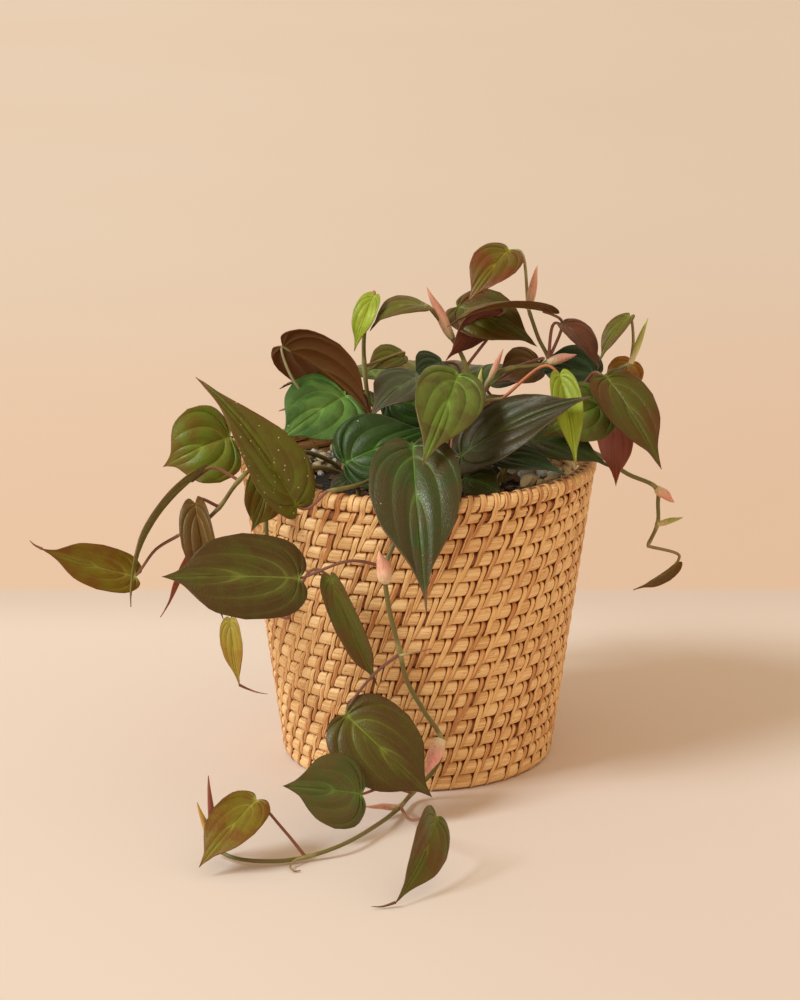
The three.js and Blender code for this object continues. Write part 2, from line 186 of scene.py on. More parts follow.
def place_points(mesh, points_mm):
    mesh.vertices.foreach_set("co", (np.asarray(points_mm) * MM).ravel())
    mesh.update()


def faces_of(mesh):
    return [tuple(p.vertices) for p in mesh.polygons]


def mesh_object(name, points_mm, faces):
    """An object from points and faces, for pieces that are copies of a modelled one."""
    mesh = bpy.data.meshes.new(name)
    mesh.from_pydata((np.asarray(points_mm) * MM).tolist(), [], faces)
    mesh.update()
    return linked(name, mesh)


def faces_out(mesh):
    """Turns the faces round if the closed mesh is inside out."""
    mesh.calc_loop_triangles()
    tri = np.empty(len(mesh.loop_triangles) * 3, int)
    mesh.loop_triangles.foreach_get("vertices", tri)
    p = points_of(mesh)[tri.reshape(-1, 3)]
    p = p - p.reshape(-1, 3).mean(0)
    if np.einsum("ij,ij->i", p[:, 0], np.cross(p[:, 1], p[:, 2])).sum() < 0:
        mesh.flip_normals()


def store(mesh, name, values):
    """Writes a value, or a colour of three values, for each vertex."""
    values = np.asarray(values, np.float32)
    if values.ndim == 1:
        mesh.attributes.new(name, "FLOAT", "POINT").data.foreach_set("value", values)
    else:
        full = np.ones((len(values), 4), np.float32)
        full[:, :3] = values
        mesh.attributes.new(name, "FLOAT_COLOR", "POINT").data.foreach_set("color", full.ravel())


def store_same(mesh, name, value):
    """Writes the same value or colour for every vertex."""
    store(mesh, name, np.repeat(np.array([value]), len(mesh.vertices), 0))


def corners_of(mesh):
    corner = np.empty(len(mesh.loops), np.int32)
    mesh.loops.foreach_get("vertex_index", corner)
    return corner


def clear_maps(mesh):
    for layer in list(mesh.uv_layers):
        mesh.uv_layers.remove(layer)


def write_uv(mesh, name, per_corner):
    layer = mesh.uv_layers.new(name=name)
    layer.data.foreach_set("uv", np.asarray(per_corner, np.float32).ravel())


def smooth(obj, angle=None):
    """Smooth shading, or with an angle in degrees only across edges that turn less than that."""
    select_only(obj)
    if angle is None:
        bpy.ops.object.shade_smooth()
    else:
        bpy.ops.object.shade_smooth_by_angle(angle=math.radians(angle))


def joined(objects, name):
    deselect()
    for o in objects:
        o.select_set(True)
    bpy.context.view_layer.objects.active = objects[0]
    if len(objects) > 1:
        bpy.ops.object.join()
    objects[0].name = name
    objects[0].data.name = name
    return objects[0]


def finish_piece(obj, node, slot, *materials):
    """Gives a piece its materials and its body, and hides the CAD node that it stands for; slot is
    not used.
    """
    for m in materials:
        obj.data.materials.append(m)
    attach(obj, "root")
    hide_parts(node)


def curve_through(points, steps):
    """Centripetal Catmull-Rom curve through the points, with steps samples to each span."""
    p = np.asarray(points, float)
    ends = np.vstack([2 * p[0] - p[1], p, 2 * p[-1] - p[-2]])
    out = []
    for i in range(len(p) - 1):
        a, b, c, d = ends[i:i + 4]
        t0 = 0.0
        t1 = t0 + max(np.linalg.norm(b - a), 1e-6) ** 0.5
        t2 = t1 + max(np.linalg.norm(c - b), 1e-6) ** 0.5
        t3 = t2 + max(np.linalg.norm(d - c), 1e-6) ** 0.5

        def between(low, high, start, end):
            return (high - t) / (high - low) * start + (t - low) / (high - low) * end

        for t in np.linspace(t1, t2, steps, endpoint=False):
            first, middle, last = between(t0, t1, a, b), between(t1, t2, b, c), between(t2, t3, c, d)
            out.append(between(t1, t2, between(t0, t2, first, middle),
                               between(t1, t3, middle, last)))
    out.append(p[-1])
    return np.array(out)


def eased(keys, at):
    """Rows of a table at other values of its first column, on smooth curves between them."""
    keys = np.asarray(keys, float)
    x, y = keys[:, 0], keys[:, 1:]
    slope = np.gradient(y, x, axis=0)
    at = np.clip(np.asarray(at, float), x[0], x[-1])
    i = np.clip(np.searchsorted(x, at, side="right") - 1, 0, len(x) - 2)
    h = (x[i + 1] - x[i])[:, None]
    t = (at - x[i])[:, None] / h
    return (
        (2 * t**3 - 3 * t**2 + 1) * y[i] + (t**3 - 2 * t**2 + t) * h * slope[i]
        + (3 * t**2 - 2 * t**3) * y[i + 1] + (t**3 - t**2) * h * slope[i + 1]
    )


# Shader graphs.


class Graph:
    """Adds nodes to a tree in few words: a value or another node's output feeds each input."""

    def __init__(self, tree):
        self.tree = tree

    def feed(self, socket, value):
        if isinstance(value, bpy.types.NodeSocket):
            self.tree.links.new(value, socket)
        elif isinstance(value, (tuple, list)) and len(value) == 3 and socket.type == "RGBA":
            socket.default_value = (*value, 1)
        else:
            socket.default_value = value

    def add(self, kind, inputs=None, **settings):
        node = self.tree.nodes.new(kind)
        for key, value in settings.items():
            setattr(node, key, value)
        for key, value in (inputs or {}).items():
            self.feed(node.inputs[key], value)
        return node

    def math(self, operation, a, b=0.0, clamp=False):
        node = self.add("ShaderNodeMath", operation=operation, use_clamp=clamp)
        self.feed(node.inputs[0], a)
        self.feed(node.inputs[1], b)
        return node.outputs[0]

    def times(self, a, b):
        return self.math("MULTIPLY", a, b)

    def over(self, a, b):
        return self.math("DIVIDE", a, b)

    def plus(self, a, b, clamp=False):
        return self.math("ADD", a, b, clamp)

    def minus(self, a, b):
        return self.math("SUBTRACT", a, b)

    def larger(self, a, b):
        return self.math("MAXIMUM", a, b)

    def mix(self, factor, a, b, blend="MIX"):
        node = self.add("ShaderNodeMix", data_type="RGBA", blend_type=blend)
        self.feed(node.inputs["Factor"], factor)
        self.feed(node.inputs["A"], a)
        self.feed(node.inputs["B"], b)
        return node.outputs["Result"]

    def fade(self, value, low, high, to_low=0.0, to_high=1.0):
        node = self.add("ShaderNodeMapRange", interpolation_type="SMOOTHSTEP")
        names = ("Value", "From Min", "From Max", "To Min", "To Max")
        for name, fed in zip(names, (value, low, high, to_low, to_high)):
            self.feed(node.inputs[name], fed)
        return node.outputs[0]

    def cells(self, vector, scale, **settings):
        """Outputs of a texture of cells round scattered points."""
        inputs = {"Vector": vector, "Scale": scale}
        return self.add("ShaderNodeTexVoronoi", inputs, **settings).outputs

    def noise(self, vector, scale, detail=3.0, roughness=0.5, bend=0.0):
        return self.add(
            "ShaderNodeTexNoise",
            {"Vector": vector, "Scale": scale, "Detail": detail, "Roughness": roughness,
             "Distortion": bend},
        ).outputs["Fac"]

    def stretch(self, vector, scale):
        return self.add("ShaderNodeMapping", {"Vector": vector, "Scale": scale}).outputs[0]

    def uv(self, name):
        return self.add("ShaderNodeUVMap", uv_map=name).outputs["UV"]

    def place(self):
        return self.add("ShaderNodeTexCoord").outputs["Object"]

    def split(self, vector):
        return self.add("ShaderNodeSeparateXYZ", {"Vector": vector}).outputs

    def attribute(self, name, output="Fac"):
        return self.add("ShaderNodeAttribute", attribute_name=name).outputs[output]


def new_group(name, inputs, outputs):
    """A node group with named sockets, each given as its kind and default."""
    tree = bpy.data.node_groups.new(name, "ShaderNodeTree")
    for key, (kind, default) in inputs.items():
        socket = tree.interface.new_socket(key, in_out="INPUT", socket_type="NodeSocket" + kind)
        if default is not None:
            socket.default_value = default
    for key, kind in outputs.items():
        tree.interface.new_socket(key, in_out="OUTPUT", socket_type="NodeSocket" + kind)
    g = Graph(tree)
    return g, g.add("NodeGroupInput").outputs, g.add("NodeGroupOutput").inputs


def use_group(g, name, inputs):
    return g.add("ShaderNodeGroup", inputs, node_tree=bpy.data.node_groups[name]).outputs


def new_material(name):
    """A material with its graph, its shader and a function that adds bump from a height."""
    m = bpy.data.materials.new(name)
    m.use_nodes = True
    g = Graph(m.node_tree)
    shader = m.node_tree.nodes["Principled BSDF"]

    def bump(height, distance, strength=1.0):
        node = g.add("ShaderNodeBump", {"Height": height, "Distance": distance,
                                        "Strength": strength})
        g.feed(shader.inputs["Normal"], node.outputs["Normal"])

    return m, g, shader.inputs, bump


WHITE = (1, 1, 1, 1)
SPECK_SHADE = (206, 204, 150)


def fibre_group():
    """Split reed and strip: long fibres, slow changes of tone, a few dark flecks, and stain with
    painted shade in its creases.
    """
    g, i, o = new_group(
        "Split reed",
        {"Along": ("Vector", None), "Light": ("Color", WHITE), "Dark": ("Color", WHITE),
         "Stain and shade": ("Color", WHITE), "Tone": ("Float", 0.5), "Crease shade and stain": ("Float", 0.0)},
        {"Color": "Color", "Height": "Float", "Roughness": "Float"},
    )
    fine = g.noise(g.stretch(i["Along"], (90, 2600, 1)), 1.0, 2.0, 0.6)
    broad = g.noise(g.stretch(i["Along"], (28, 700, 1)), 1.0, 2.0, 0.5)
    fleck = g.noise(g.stretch(i["Along"], (300, 1500, 1)), 1.0, 1.0, 0.5)
    lines = g.plus(g.times(fine, 0.55), g.times(broad, 0.45))
    tone = g.plus(g.fade(lines, 0.36, 0.62), g.minus(i["Tone"], 0.5), True)
    colour = g.mix(tone, i["Dark"], i["Light"])
    colour = g.mix(g.fade(fleck, 0.66, 0.76, 0.0, 0.7), colour, i["Stain and shade"])
    # Stain and painted shade in the creases: first a half shade, then the full seam colour.
    half_stain_and_shade = g.mix(0.45, i["Dark"], i["Stain and shade"])
    colour = g.mix(g.fade(i["Crease shade and stain"], 0.12, 0.6, 0.0, 0.62), colour, half_stain_and_shade)
    colour = g.mix(g.fade(i["Crease shade and stain"], 0.42, 0.85, 0.0, 1.0), colour, i["Stain and shade"])
    g.feed(o["Color"], colour)
    g.feed(o["Height"], lines)
    g.feed(o["Roughness"], g.fade(lines, 0.3, 0.7, 0.62, 0.46))


def skin_group():
    """Leaf skin: midrib, side veins, mottling, margin and tip, laid out by the blade's maps."""
    g, i, o = new_group(
        "Leaf skin",
        {"Face": ("Color", WHITE), "Patch": ("Color", WHITE), "Vein": ("Color", WHITE),
         "Edge": ("Color", WHITE), "Specks": ("Float", 0.0)},
        {"Color": "Color", "Height": "Float", "Grain": "Float", "Roughness": "Float"},
    )
    rib = g.split(g.uv("ribs"))
    flat = g.split(g.uv("blade"))
    place = g.place()
    out = g.times(g.math("ABSOLUTE", g.minus(rib[1], 0.5)), 2.0)
    along = flat[0]
    side = g.times(g.math("ABSOLUTE", g.minus(flat[1], 0.5)), BLADE_SPAN)
    # Side veins, with a fainter one half way between each two.
    spread = g.plus(g.times(out, 1.8), 0.28)
    off_vein = g.math("PINGPONG", rib[0], VEIN_STEP / 2)
    near = g.times(off_vein, spread)
    between = g.times(g.minus(VEIN_STEP / 2, off_vein), spread)
    dies = g.fade(out, 0.12, 0.95, 1.0, 0.12)
    line = g.times(g.fade(near, 0.0, 0.011, 1.0, 0.0), dies)
    halo = g.times(g.fade(near, 0.0, 0.075, 1.0, 0.0), dies)
    faint = g.times(g.fade(between, 0.0, 0.010, 0.22, 0.0), dies)
    # Midrib, the pale glow beside it, and the pale spot where the stalk joins.
    widths = g.over(side, g.fade(along, 0.0, 1.0, 0.00075, 0.00022))
    midrib = g.fade(widths, 0.25, 1.0, 1.0, 0.0)
    glow = g.fade(widths, 0.5, 7.0, 1.0, 0.0)
    base = g.fade(g.plus(g.math("ABSOLUTE", along), g.times(side, 26.0)), 0.0, 0.09, 1.0, 0.0)
    # Patches, mottling, a net of fine veins, and pale specks.
    blotch = g.noise(place, 62.0, 3.0, 0.55, 0.4)
    mottle = g.noise(place, 210.0, 3.0, 0.6)
    grain = g.noise(place, 3600.0, 2.0, 0.6)
    wobble = g.noise(place, 420.0, 2.0)
    net = g.cells(place, 760.0, feature="DISTANCE_TO_EDGE")["Distance"]
    net = g.fade(net, 0.0, 0.16, 1.0, 0.0)
    dots = g.cells(place, 440.0)
    dot = g.fade(dots["Distance"], 0.10, 0.20, 1.0, 0.0)
    chosen = g.fade(g.split(dots["Color"])[0], g.minus(1.0, i["Specks"]), g.minus(1.01, i["Specks"]))
    patch = g.plus(g.fade(blotch, 0.42, 0.62), g.fade(out, 0.55, 1.0, 0.0, 0.55), True)
    middle = g.larger(g.times(halo, 0.55), g.times(glow, 0.6))
    colour = g.mix(patch, i["Face"], i["Patch"])
    colour = g.mix(g.times(middle, 0.3), colour, i["Vein"])
    colour = g.mix(g.fade(mottle, 0.3, 0.7, 0.0, 0.22), colour, i["Patch"])
    strength = g.larger(g.times(line, 0.4), g.times(faint, 0.6))
    strength = g.larger(strength, g.times(midrib, 0.7))
    strength = g.times(strength, g.fade(wobble, 0.2, 0.6, 0.6, 1.0))
    strength = g.times(strength, g.fade(along, 0.55, 0.97, 1.0, 0.25))
    pale_base = g.times(base, 0.9)
    colour = g.mix(g.larger(strength, pale_base), colour, i["Vein"])
    rim = g.larger(g.fade(out, 0.972, 0.992, 0.0, 0.8), g.fade(along, 0.88, 1.0))
    colour = g.mix(g.times(rim, g.minus(1.0, pale_base)), colour, i["Edge"])
    colour = g.mix(g.times(net, 0.05), colour, i["Vein"])
    colour = g.mix(g.fade(grain, 0.2, 0.8, 0.0, 0.16), colour, (1, 1, 1), "SOFT_LIGHT")
    colour = g.mix(g.times(dot, g.times(chosen, 0.8)), colour, to_linear(SPECK_SHADE))
    g.feed(o["Color"], colour)
    ridge = g.larger(g.times(line, 0.7), midrib)
    height = g.plus(g.times(ridge, -0.5), g.times(mottle, 0.4))
    g.feed(o["Height"], g.plus(height, g.times(net, -0.16)))
    g.feed(o["Grain"], grain)
    g.feed(o["Roughness"], g.fade(mottle, 0.3, 0.7, 0.29, 0.42))


def rattan_material(name, light, dark, stain_and_shade):
    m, g, s, bump = new_material(name)
    made = use_group(g, "Split reed", {
        "Along": g.uv("fibres"), "Light": tuple(light), "Dark": tuple(dark),
        "Stain and shade": tuple(stain_and_shade), "Tone": g.attribute("tone"), "Crease shade and stain": g.attribute("crease_shade_and_stain"),
    })
    g.feed(s["Base Color"], made["Color"])
    g.feed(s["Roughness"], made["Roughness"])
    s["Specular IOR Level"].default_value = 0.4
    bump(made["Height"], 0.0005, 0.9)
    return m


# Basket.

# Heights of the rows that differ from the rest, and how far the foot row clears the floor.
RIM_ROW, SECOND_ROW, FOOT_ROW = 8.0, 5.4, 7.7
FOOT_LIFT = 0.5
MIDDLE_ROWS = 18
# Half a reed's depth, and how square its section is, where 2 is round.
REED_DEPTH = 4.0
REED_SQUARE = 2.7
RIM_SQUARE = 2.2
DIP = 0.65  # How far a reed sinks under each strip.
ROW_SHIFT = 0.47  # Strips from one row to the next, as a share of their spacing.
# How far a strip leans over the rim row, its first row and its second row.
RIM_LEAN, LEAN_FIRST, LEAN_SECOND = 1.7, 2.4, 3.1
# Spread and limit of a strip's place in millimetres, and of its lean and width as shares.
STRAY, STRAY_LIMIT = 0.32, 0.7
UNEVEN, UNEVEN_LIMIT = 0.09, 0.2
FULL_SIZE_RADIUS = 77  # Reeds and strips get narrower with the basket below this radius.
REED_GAP = 0.08  # Least gap between a strip and the next swell of the reed.
# Cross-section of a reed, from the middle of its outer side upwards: across, and side.
REED_ROUND = [
    (0, 1), (-0.36, 1), (-0.63, 1), (-0.83, 1), (-0.95, 1), (-1, 0), (-0.8, -1), (-0.3, -1),
    (0.3, -1), (0.8, -1), (1, 0), (0.95, 1), (0.83, 1), (0.63, 1), (0.36, 1),
]
# Columns of points along a reed from one strip to the next.
CELL = [0.0, 0.05, 0.14, 0.34, 0.56, 0.76, 0.9, 0.965, 1.0]
RIM_CELL = [0.0, 0.12, 0.35, 0.65, 0.88, 1.0]
# Where a reed stops rising and starts to fall, the length of its fall, all as shares of its way
# from one strip to the next, and how square both ends are.
RISE_END, FALL_START, FALL_LENGTH = 0.14, 0.84, 0.16
RISE_SQUARE, FALL_SQUARE = 2.2, 2.4
# Steps from one reed, side or strip to the next on the map of the fibres, so that no two of them
# show the same stretch.
ROW_FIBRES, SIDE_FIBRES, STRIP_FIBRES = 23.7, 12, (31.7, 17.3)


class Weave:
    """Where the basket's rows and binding strips lie, in millimetres."""

    def __init__(self, s):
        self.height, self.rim = s.height / MM, s.rim_radius / MM
        self.foot, self.count = s.foot_radius / MM, s.strips
        self.width, self.thick = s.strip_width / MM, s.strip_thickness / MM
        self.tilt = math.atan((self.rim - self.foot) / self.height)
        pitch = (self.height - RIM_ROW - SECOND_ROW - FOOT_ROW - FOOT_LIFT) / MIDDLE_ROWS
        top = self.height - RIM_ROW
        middle_edges = [top - SECOND_ROW - pitch * k for k in range(MIDDLE_ROWS + 1)]
        self.edges = [self.height, top] + middle_edges + [FOOT_LIFT]
        self.rows = len(self.edges) - 1
        self.across = np.array([-math.sin(self.tilt), -math.cos(self.tilt)])
        self.out = np.array([math.cos(self.tilt), -math.sin(self.tilt)])
        self.period = TURN / self.count
        draw = np.random.default_rng(7)
        size = (self.rows + 2, self.count)
        self.nudge = draw.normal(0, STRAY, size).clip(-STRAY_LIMIT, STRAY_LIMIT)
        self.slant = 1 + draw.normal(0, UNEVEN, size).clip(-UNEVEN_LIMIT, UNEVEN_LIMIT)
        self.wide = 1 + draw.normal(0, UNEVEN, size).clip(-UNEVEN_LIMIT, UNEVEN_LIMIT)
        self.tone = draw.uniform(0.0, 1.0, size)

    def row(self, i):
        """Middle, half height and scale of a row of the wall, where rows past its ends stand
        for the last one."""
        i = min(max(i, 0), self.rows - 1)
        high, low = self.edges[i], self.edges[i + 1]
        z = (high + low) / 2
        if i == 0:
            return np.array([self.rim - REED_DEPTH, z]), (high - low) / 2, 1.1
        radius = self.foot + (self.rim - self.foot) * z / self.height
        r = radius - REED_DEPTH * math.cos(self.tilt)
        half = (high - low) / 2 / math.cos(self.tilt) + 0.04
        return np.array([r, z]), half, r / FULL_SIZE_RADIUS

    def strip_angle(self, i, s):
        """Angles round the basket of row i's strips at share s of their way, one column each.
        Row -1 is the short wraps of the rim."""
        s = np.asarray(s, float)[:, None]
        first, second = (RIM_LEAN, LEAN_FIRST) if i <= 0 else (LEAN_FIRST, LEAN_SECOND)
        lean = np.where(s < 0.5, first * s / 0.5, first + second * (s - 0.5) / 0.5)
        middle, _, scale = self.row(i)
        shift = self.nudge[i + 1] - lean * scale * self.slant[i + 1]
        start = (np.arange(self.count) - ROW_SHIFT * i) * self.period
        return start + shift / (middle[0] + REED_DEPTH)

    def half_width(self, i):
        """Half the width of each strip of row i, as an angle."""
        middle, _, scale = self.row(i)
        return self.width * scale * self.wide[i + 1] / 2 / (middle[0] + REED_DEPTH)


def subdivide_edges(obj, chosen, cuts):
    bpy.context.tool_settings.mesh_select_mode = (False, True, False)
    mesh = obj.data
    mesh.vertices.foreach_set("select", np.zeros(len(mesh.vertices), bool))
    mesh.polygons.foreach_set("select", np.zeros(len(mesh.polygons), bool))
    mesh.edges.foreach_set("select", np.asarray(chosen, bool))
    bpy.ops.object.mode_set(mode="EDIT")
    bpy.ops.mesh.subdivide(number_cuts=cuts)
    bpy.ops.object.mode_set(mode="OBJECT")


def ring_grid(name, cells, per_cell, around, radius, half):
    """A torus with each of its cells subdivided lengthwise. Returns it with the column and
    the place round the section of each of its points."""
    deselect()
    bpy.ops.mesh.primitive_torus_add(
        major_segments=cells, minor_segments=around,
        major_radius=radius * MM, minor_radius=half * MM,
    )
    ring = bpy.context.object
    ring.name = name
    ends = np.empty(len(ring.data.edges) * 2, int)
    ring.data.edges.foreach_get("vertices", ends)
    columns = ends.reshape(-1, 2) // around
    subdivide_edges(ring, columns[:, 0] != columns[:, 1], per_cell - 1)
    co = points_of(ring.data) / MM
    cell = TURN / cells
    turn = np.arctan2(co[:, 1], co[:, 0]) % TURN
    k = np.floor(turn / cell + 1e-4)
    off = turn - (k + 0.5) * cell
    part = 0.5 + np.tan(off) / (2 * math.tan(cell / 2))
    column = np.round((k + part) * per_cell).astype(int) % (cells * per_cell)
    true_radius = np.hypot(co[:, 0], co[:, 1]) * np.cos(off) / math.cos(cell / 2)
    section = np.arctan2(co[:, 2], true_radius - radius) % TURN
    place = np.round(section / (TURN / around)).astype(int) % around
    if len(set(zip(column, place))) != len(co) or len(co) != cells * per_cell * around:
        raise RuntimeError(f"{name}: its points don't form a grid")
    clear_maps(ring.data)
    return ring, column, place


def ring_uv(ring, column, place, angle, radius, across):
    """Writes the map of the fibres: metres along the ring, and across it."""
    corner = corners_of(ring.data)
    col = column[corner]
    last = np.repeat(col.reshape(-1, 4).max(1), 4)
    u = angle[col] + TURN * ((last == len(angle) - 1) & (col == 0))
    write_uv(ring.data, "fibres", np.stack([u * radius, across[place[corner]]], 1) * MM)


def round_basket(radius, angle, z):
    """Points at angles round the basket's axis, counted from its front."""
    x, y = radius * np.sin(angle), -radius * np.cos(angle)
    return np.stack(np.broadcast_arrays(x, y, z), -1)


def next_round(columns):
    """Each column's neighbour, where the last one meets the first after a full turn."""
    moved = np.roll(columns, -1, 1)
    moved[:, -1] += TURN
    return moved


def strip_taper(s):
    """Width of a strip along its way, which ends in a narrow point."""
    return np.interp(s, [0, 0.12, 0.5, 0.75, 1], [0.8, 1.04, 1.04, 0.82, 0.5])


def rim_cells(weave, v):
    """The stretches of the rim's reed between its long and short wraps, which take turns: left
    and right edge, how far the lower corner is drawn in, and tone."""
    strip = np.stack([weave.strip_angle(0, v / 2), weave.strip_angle(-1, v / 2)], 2)
    strip = strip.reshape(len(v), -1)
    wide = np.stack([weave.half_width(0), weave.half_width(-1)], 1).reshape(-1)
    short = np.arange(strip.shape[1]) % 2 == 0
    corner = 1.5 * np.clip((v - 0.45) / 0.55, 0, 1)[:, None] ** 2 * short
    tone = np.stack([weave.tone[1], weave.tone[0]], 1).reshape(-1)
    return strip + wide, next_round(strip - wide), corner, tone


def wall_cells(weave, i, v):
    """The same for a row of the wall, between the strips that end on it and those that start."""
    a = weave.strip_angle(i - 1, 0.5 + v / 2)
    a_wide = weave.half_width(i - 1) * strip_taper(0.5 + v / 2)[:, None]
    b, b_wide = a, a_wide
    if i < weave.rows - 1:
        b = weave.strip_angle(i, v / 2)
        b_wide = weave.half_width(i) * strip_taper(v / 2)[:, None]
    corner = 1.3 * np.clip((0.42 - v) / 0.42, 0, 1)[:, None] ** 2
    return a + a_wide, next_round(b - b_wide), corner, weave.tone[i + 1]


def swell(p):
    """Height of a reed at share p of its way from one strip to the next: steep rounded ends."""
    rise = (1 - (1 - p / RISE_END).clip(0) ** RISE_SQUARE) ** (1 / RISE_SQUARE)
    fall = ((p - FALL_START) / FALL_LENGTH).clip(0, 1)
    return np.where(p < RISE_END, rise, (1 - fall**FALL_SQUARE) ** (1 / FALL_SQUARE))


def reed_ring(weave, i, name):
    """One row of the coil: a ring that bulges between the strips that bind it."""
    middle, half, scale = weave.row(i)
    across, out = (np.array([0, -1.0]), np.array([1.0, 0])) if i == 0 else (weave.across, weave.out)
    square = RIM_SQUARE if i == 0 else REED_SQUARE
    c, side = np.array(REED_ROUND, float).T
    v = (c + 1) / 2
    left, right, corner, tone = rim_cells(weave, v) if i == 0 else wall_cells(weave, i, v)
    right = right - (REED_GAP + corner) * scale / (middle[0] + REED_DEPTH)
    # Columns across each cell, and one more under the strip that follows.
    p = np.array(RIM_CELL if i == 0 else CELL)
    columns = [left + q * (right - left) for q in p] + [(right + next_round(left)) / 2]
    angle = np.stack(columns, 2).reshape(len(v), -1).T
    rise = np.tile(np.append(swell(p), 0.0), left.shape[1])
    crest = (1 - np.abs(c) ** square).clip(0) ** (1 / square)
    outer = side > 0
    high = REED_DEPTH * crest * side * (1 - (1 - rise)[:, None] * (DIP / REED_DEPTH) * outer)
    if i == weave.rows - 1:
        # A thin extra reed lies above the foot row.
        high = high - 1.0 * np.exp(-(((c + 0.44) / 0.13) ** 2)) * outer
    if i == 1:
        # The coil's end runs beside this row for a hand's breadth at the front right.
        reach = np.exp(-(((angle - 0.46) / 0.2) ** 4))
        high = high - 1.1 * np.exp(-((c / 0.2) ** 2)) * outer * reach
    r = middle[0] + across[0] * half * c + out[0] * high
    z = middle[1] + across[1] * half * c + out[1] * high
    # The rows run a little uneven.
    z = z + 0.22 * np.sin(3 * angle + i * 0.8) * (0 < i < weave.rows - 1)
    ring, column, place = ring_grid(name, left.shape[1], len(columns), len(c), middle[0], half)
    place_points(ring.data, round_basket(r, angle, z)[column, place])
    across_fibres = half * c + SIDE_FIBRES * (side <= 0) + ROW_FIBRES * i
    ring_uv(ring, column, place, angle[:, 0], middle[0], across_fibres)
    # Stain and painted shade: darker towards the seams between rows and where the reed sinks under a
    # strip.
    crease_shade_and_stain = (1 - crest) ** 1.2 + 0.7 * (1 - rise)[:, None] * outer
    store(ring.data, "crease_shade_and_stain", crease_shade_and_stain[column, place].clip(0, 1))
    store(ring.data, "tone", 0.3 + 0.5 * np.repeat(tone, len(columns))[column])
    return ring


def strip_template(rings):
    """A flat strip with a low crown, modelled once: its faces, and for each of its points the
    share of its way along, its place across and whether it is on the upper side."""
    deselect()
    bpy.ops.mesh.primitive_cylinder_add(vertices=5, radius=1, depth=1, end_fill_type="NGON")
    rod = bpy.context.object
    level = points_of(rod.data)[:, 2]
    upright = [abs(level[e.vertices[0]] - level[e.vertices[1]]) > 0.5 for e in rod.data.edges]
    subdivide_edges(rod, upright, rings - 2)
    co = points_of(rod.data)
    along = 0.5 - co[:, 2]
    turn = np.round((np.arctan2(co[:, 0], co[:, 1]) % TURN) / (TURN / 5)).astype(int) % 5
    faces = faces_of(rod.data)
    bpy.data.objects.remove(rod)
    return along, turn, faces


# The five corners of a strip's section: across, and share of the thickness.
STRIP_ACROSS = np.array([0.0, 0.86, 1.0, -1.0, -0.86])
STRIP_RISE = np.array([1.12, 1.0, 0.0, 0.0, 1.0])


def strips(template, path, lifts, angles, half_widths, thick, tones, taper=strip_taper):
    """Copies of the strip laid along a path of [radius, height] round the basket.
    angles has a row for each point of the path and a column for each strip."""
    along, turn, faces = template
    heading = np.gradient(path, axis=0)
    heading /= np.linalg.norm(heading, axis=1)[:, None]
    out = np.stack([-heading[:, 1], heading[:, 0]], 1)
    ring = np.round(along * (len(path) - 1)).astype(int)
    ran = np.concatenate([[0], np.cumsum(np.linalg.norm(np.diff(path, axis=0), axis=1))])
    width = taper(ran / ran[-1])[ring]
    across, lift = STRIP_ACROSS[turn], STRIP_RISE[turn] * thick
    r = path[ring, 0] + out[ring, 0] * lift
    z = path[ring, 1] + out[ring, 1] * lift
    points, all_faces, uv = [], [], []
    for k, half in enumerate(half_widths):
        points.append(round_basket(r, angles[ring, k] + across * half * width, z))
        all_faces += [[v + k * len(along) for v in f] for f in faces]
        fibres = [ran[ring] + STRIP_FIBRES[0] * k, across * 1.3 + STRIP_FIBRES[1] * k]
        uv.append(np.stack(fibres, 1) * MM)
    # Painted shade, with stain, darkens a strip down its flanks and where it dives into a seam.
    lifts = np.asarray(lifts, float)
    dive = 1 - ((lifts - lifts.min()) / np.ptp(lifts)) ** 0.7
    crease_shade_and_stain = (0.4 * (STRIP_RISE[turn] == 0) + 0.75 * dive[ring]).clip(0, 1)
    return (np.vstack(points), all_faces, np.vstack(uv), np.repeat(tones, len(along)),
            np.tile(crease_shade_and_stain, len(half_widths)))


def laid_strips(name, batches):
    """One mesh from several batches of strips, each a closed strip with its faces out."""
    points, faces, uv, tones, creases = zip(*batches)
    all_faces, start = [], 0
    for batch, ends in zip(faces, points):
        all_faces += [[v + start for v in face] for face in batch]
        start += len(ends)
    points = np.vstack(points)
    points[:, 2] = points[:, 2].clip(0.02)  # Nothing reaches below the floor.
    obj = mesh_object(name, points, all_faces)
    faces_out(obj.data)
    write_uv(obj.data, "fibres", np.vstack(uv)[corners_of(obj.data)])
    store(obj.data, "tone", np.concatenate(tones) ** 0.8)
    store(obj.data, "crease_shade_and_stain", np.concatenate(creases))
    return obj


# How far a strip lies out from the middle of the reeds, as [share of its way, distance].
STRIP_LIFT = [
    [0, 1.2], [0.03, 2.4], [0.07, 3.2], [0.13, 3.6], [0.25, 3.75], [0.37, 3.6], [0.5, 3.25],
    [0.63, 3.6], [0.75, 3.75], [0.87, 3.6], [0.93, 3.2], [0.97, 2.4], [1, 1.2],
]


# A wrap's way over the rim, as [degrees round the rim's reed, distance from its middle], and a
# long wrap's way on over the next row, as [place across the row, distance out].
RIM_WRAP = [
    [205, 3.2], [185, 3.7], [160, 3.8], [130, 3.8], [100, 3.8], [70, 3.8], [40, 3.8],
    [10, 3.8], [-20, 3.8], [-45, 3.75],
]
LONG_WRAP = [[-1, 3.3], [-0.5, 3.65], [0, 3.75], [0.5, 3.65], [0.85, 3.1], [1, 1.2]]


def wall_path(weave, i, stations, lift, inside=False):
    """Path of a strip over rows i and i + 1 of the wall, at the stations 0 to 1."""
    path = []
    for s, h in zip(stations, lift):
        k = i if s < 0.5 else i + 1
        middle, half, _ = weave.row(k)
        c = (4 * s - 1) if k == i else (4 * s - 3)
        path.append(middle + weave.across * half * c + weave.out * (-h if inside else h))
    return np.array(path)


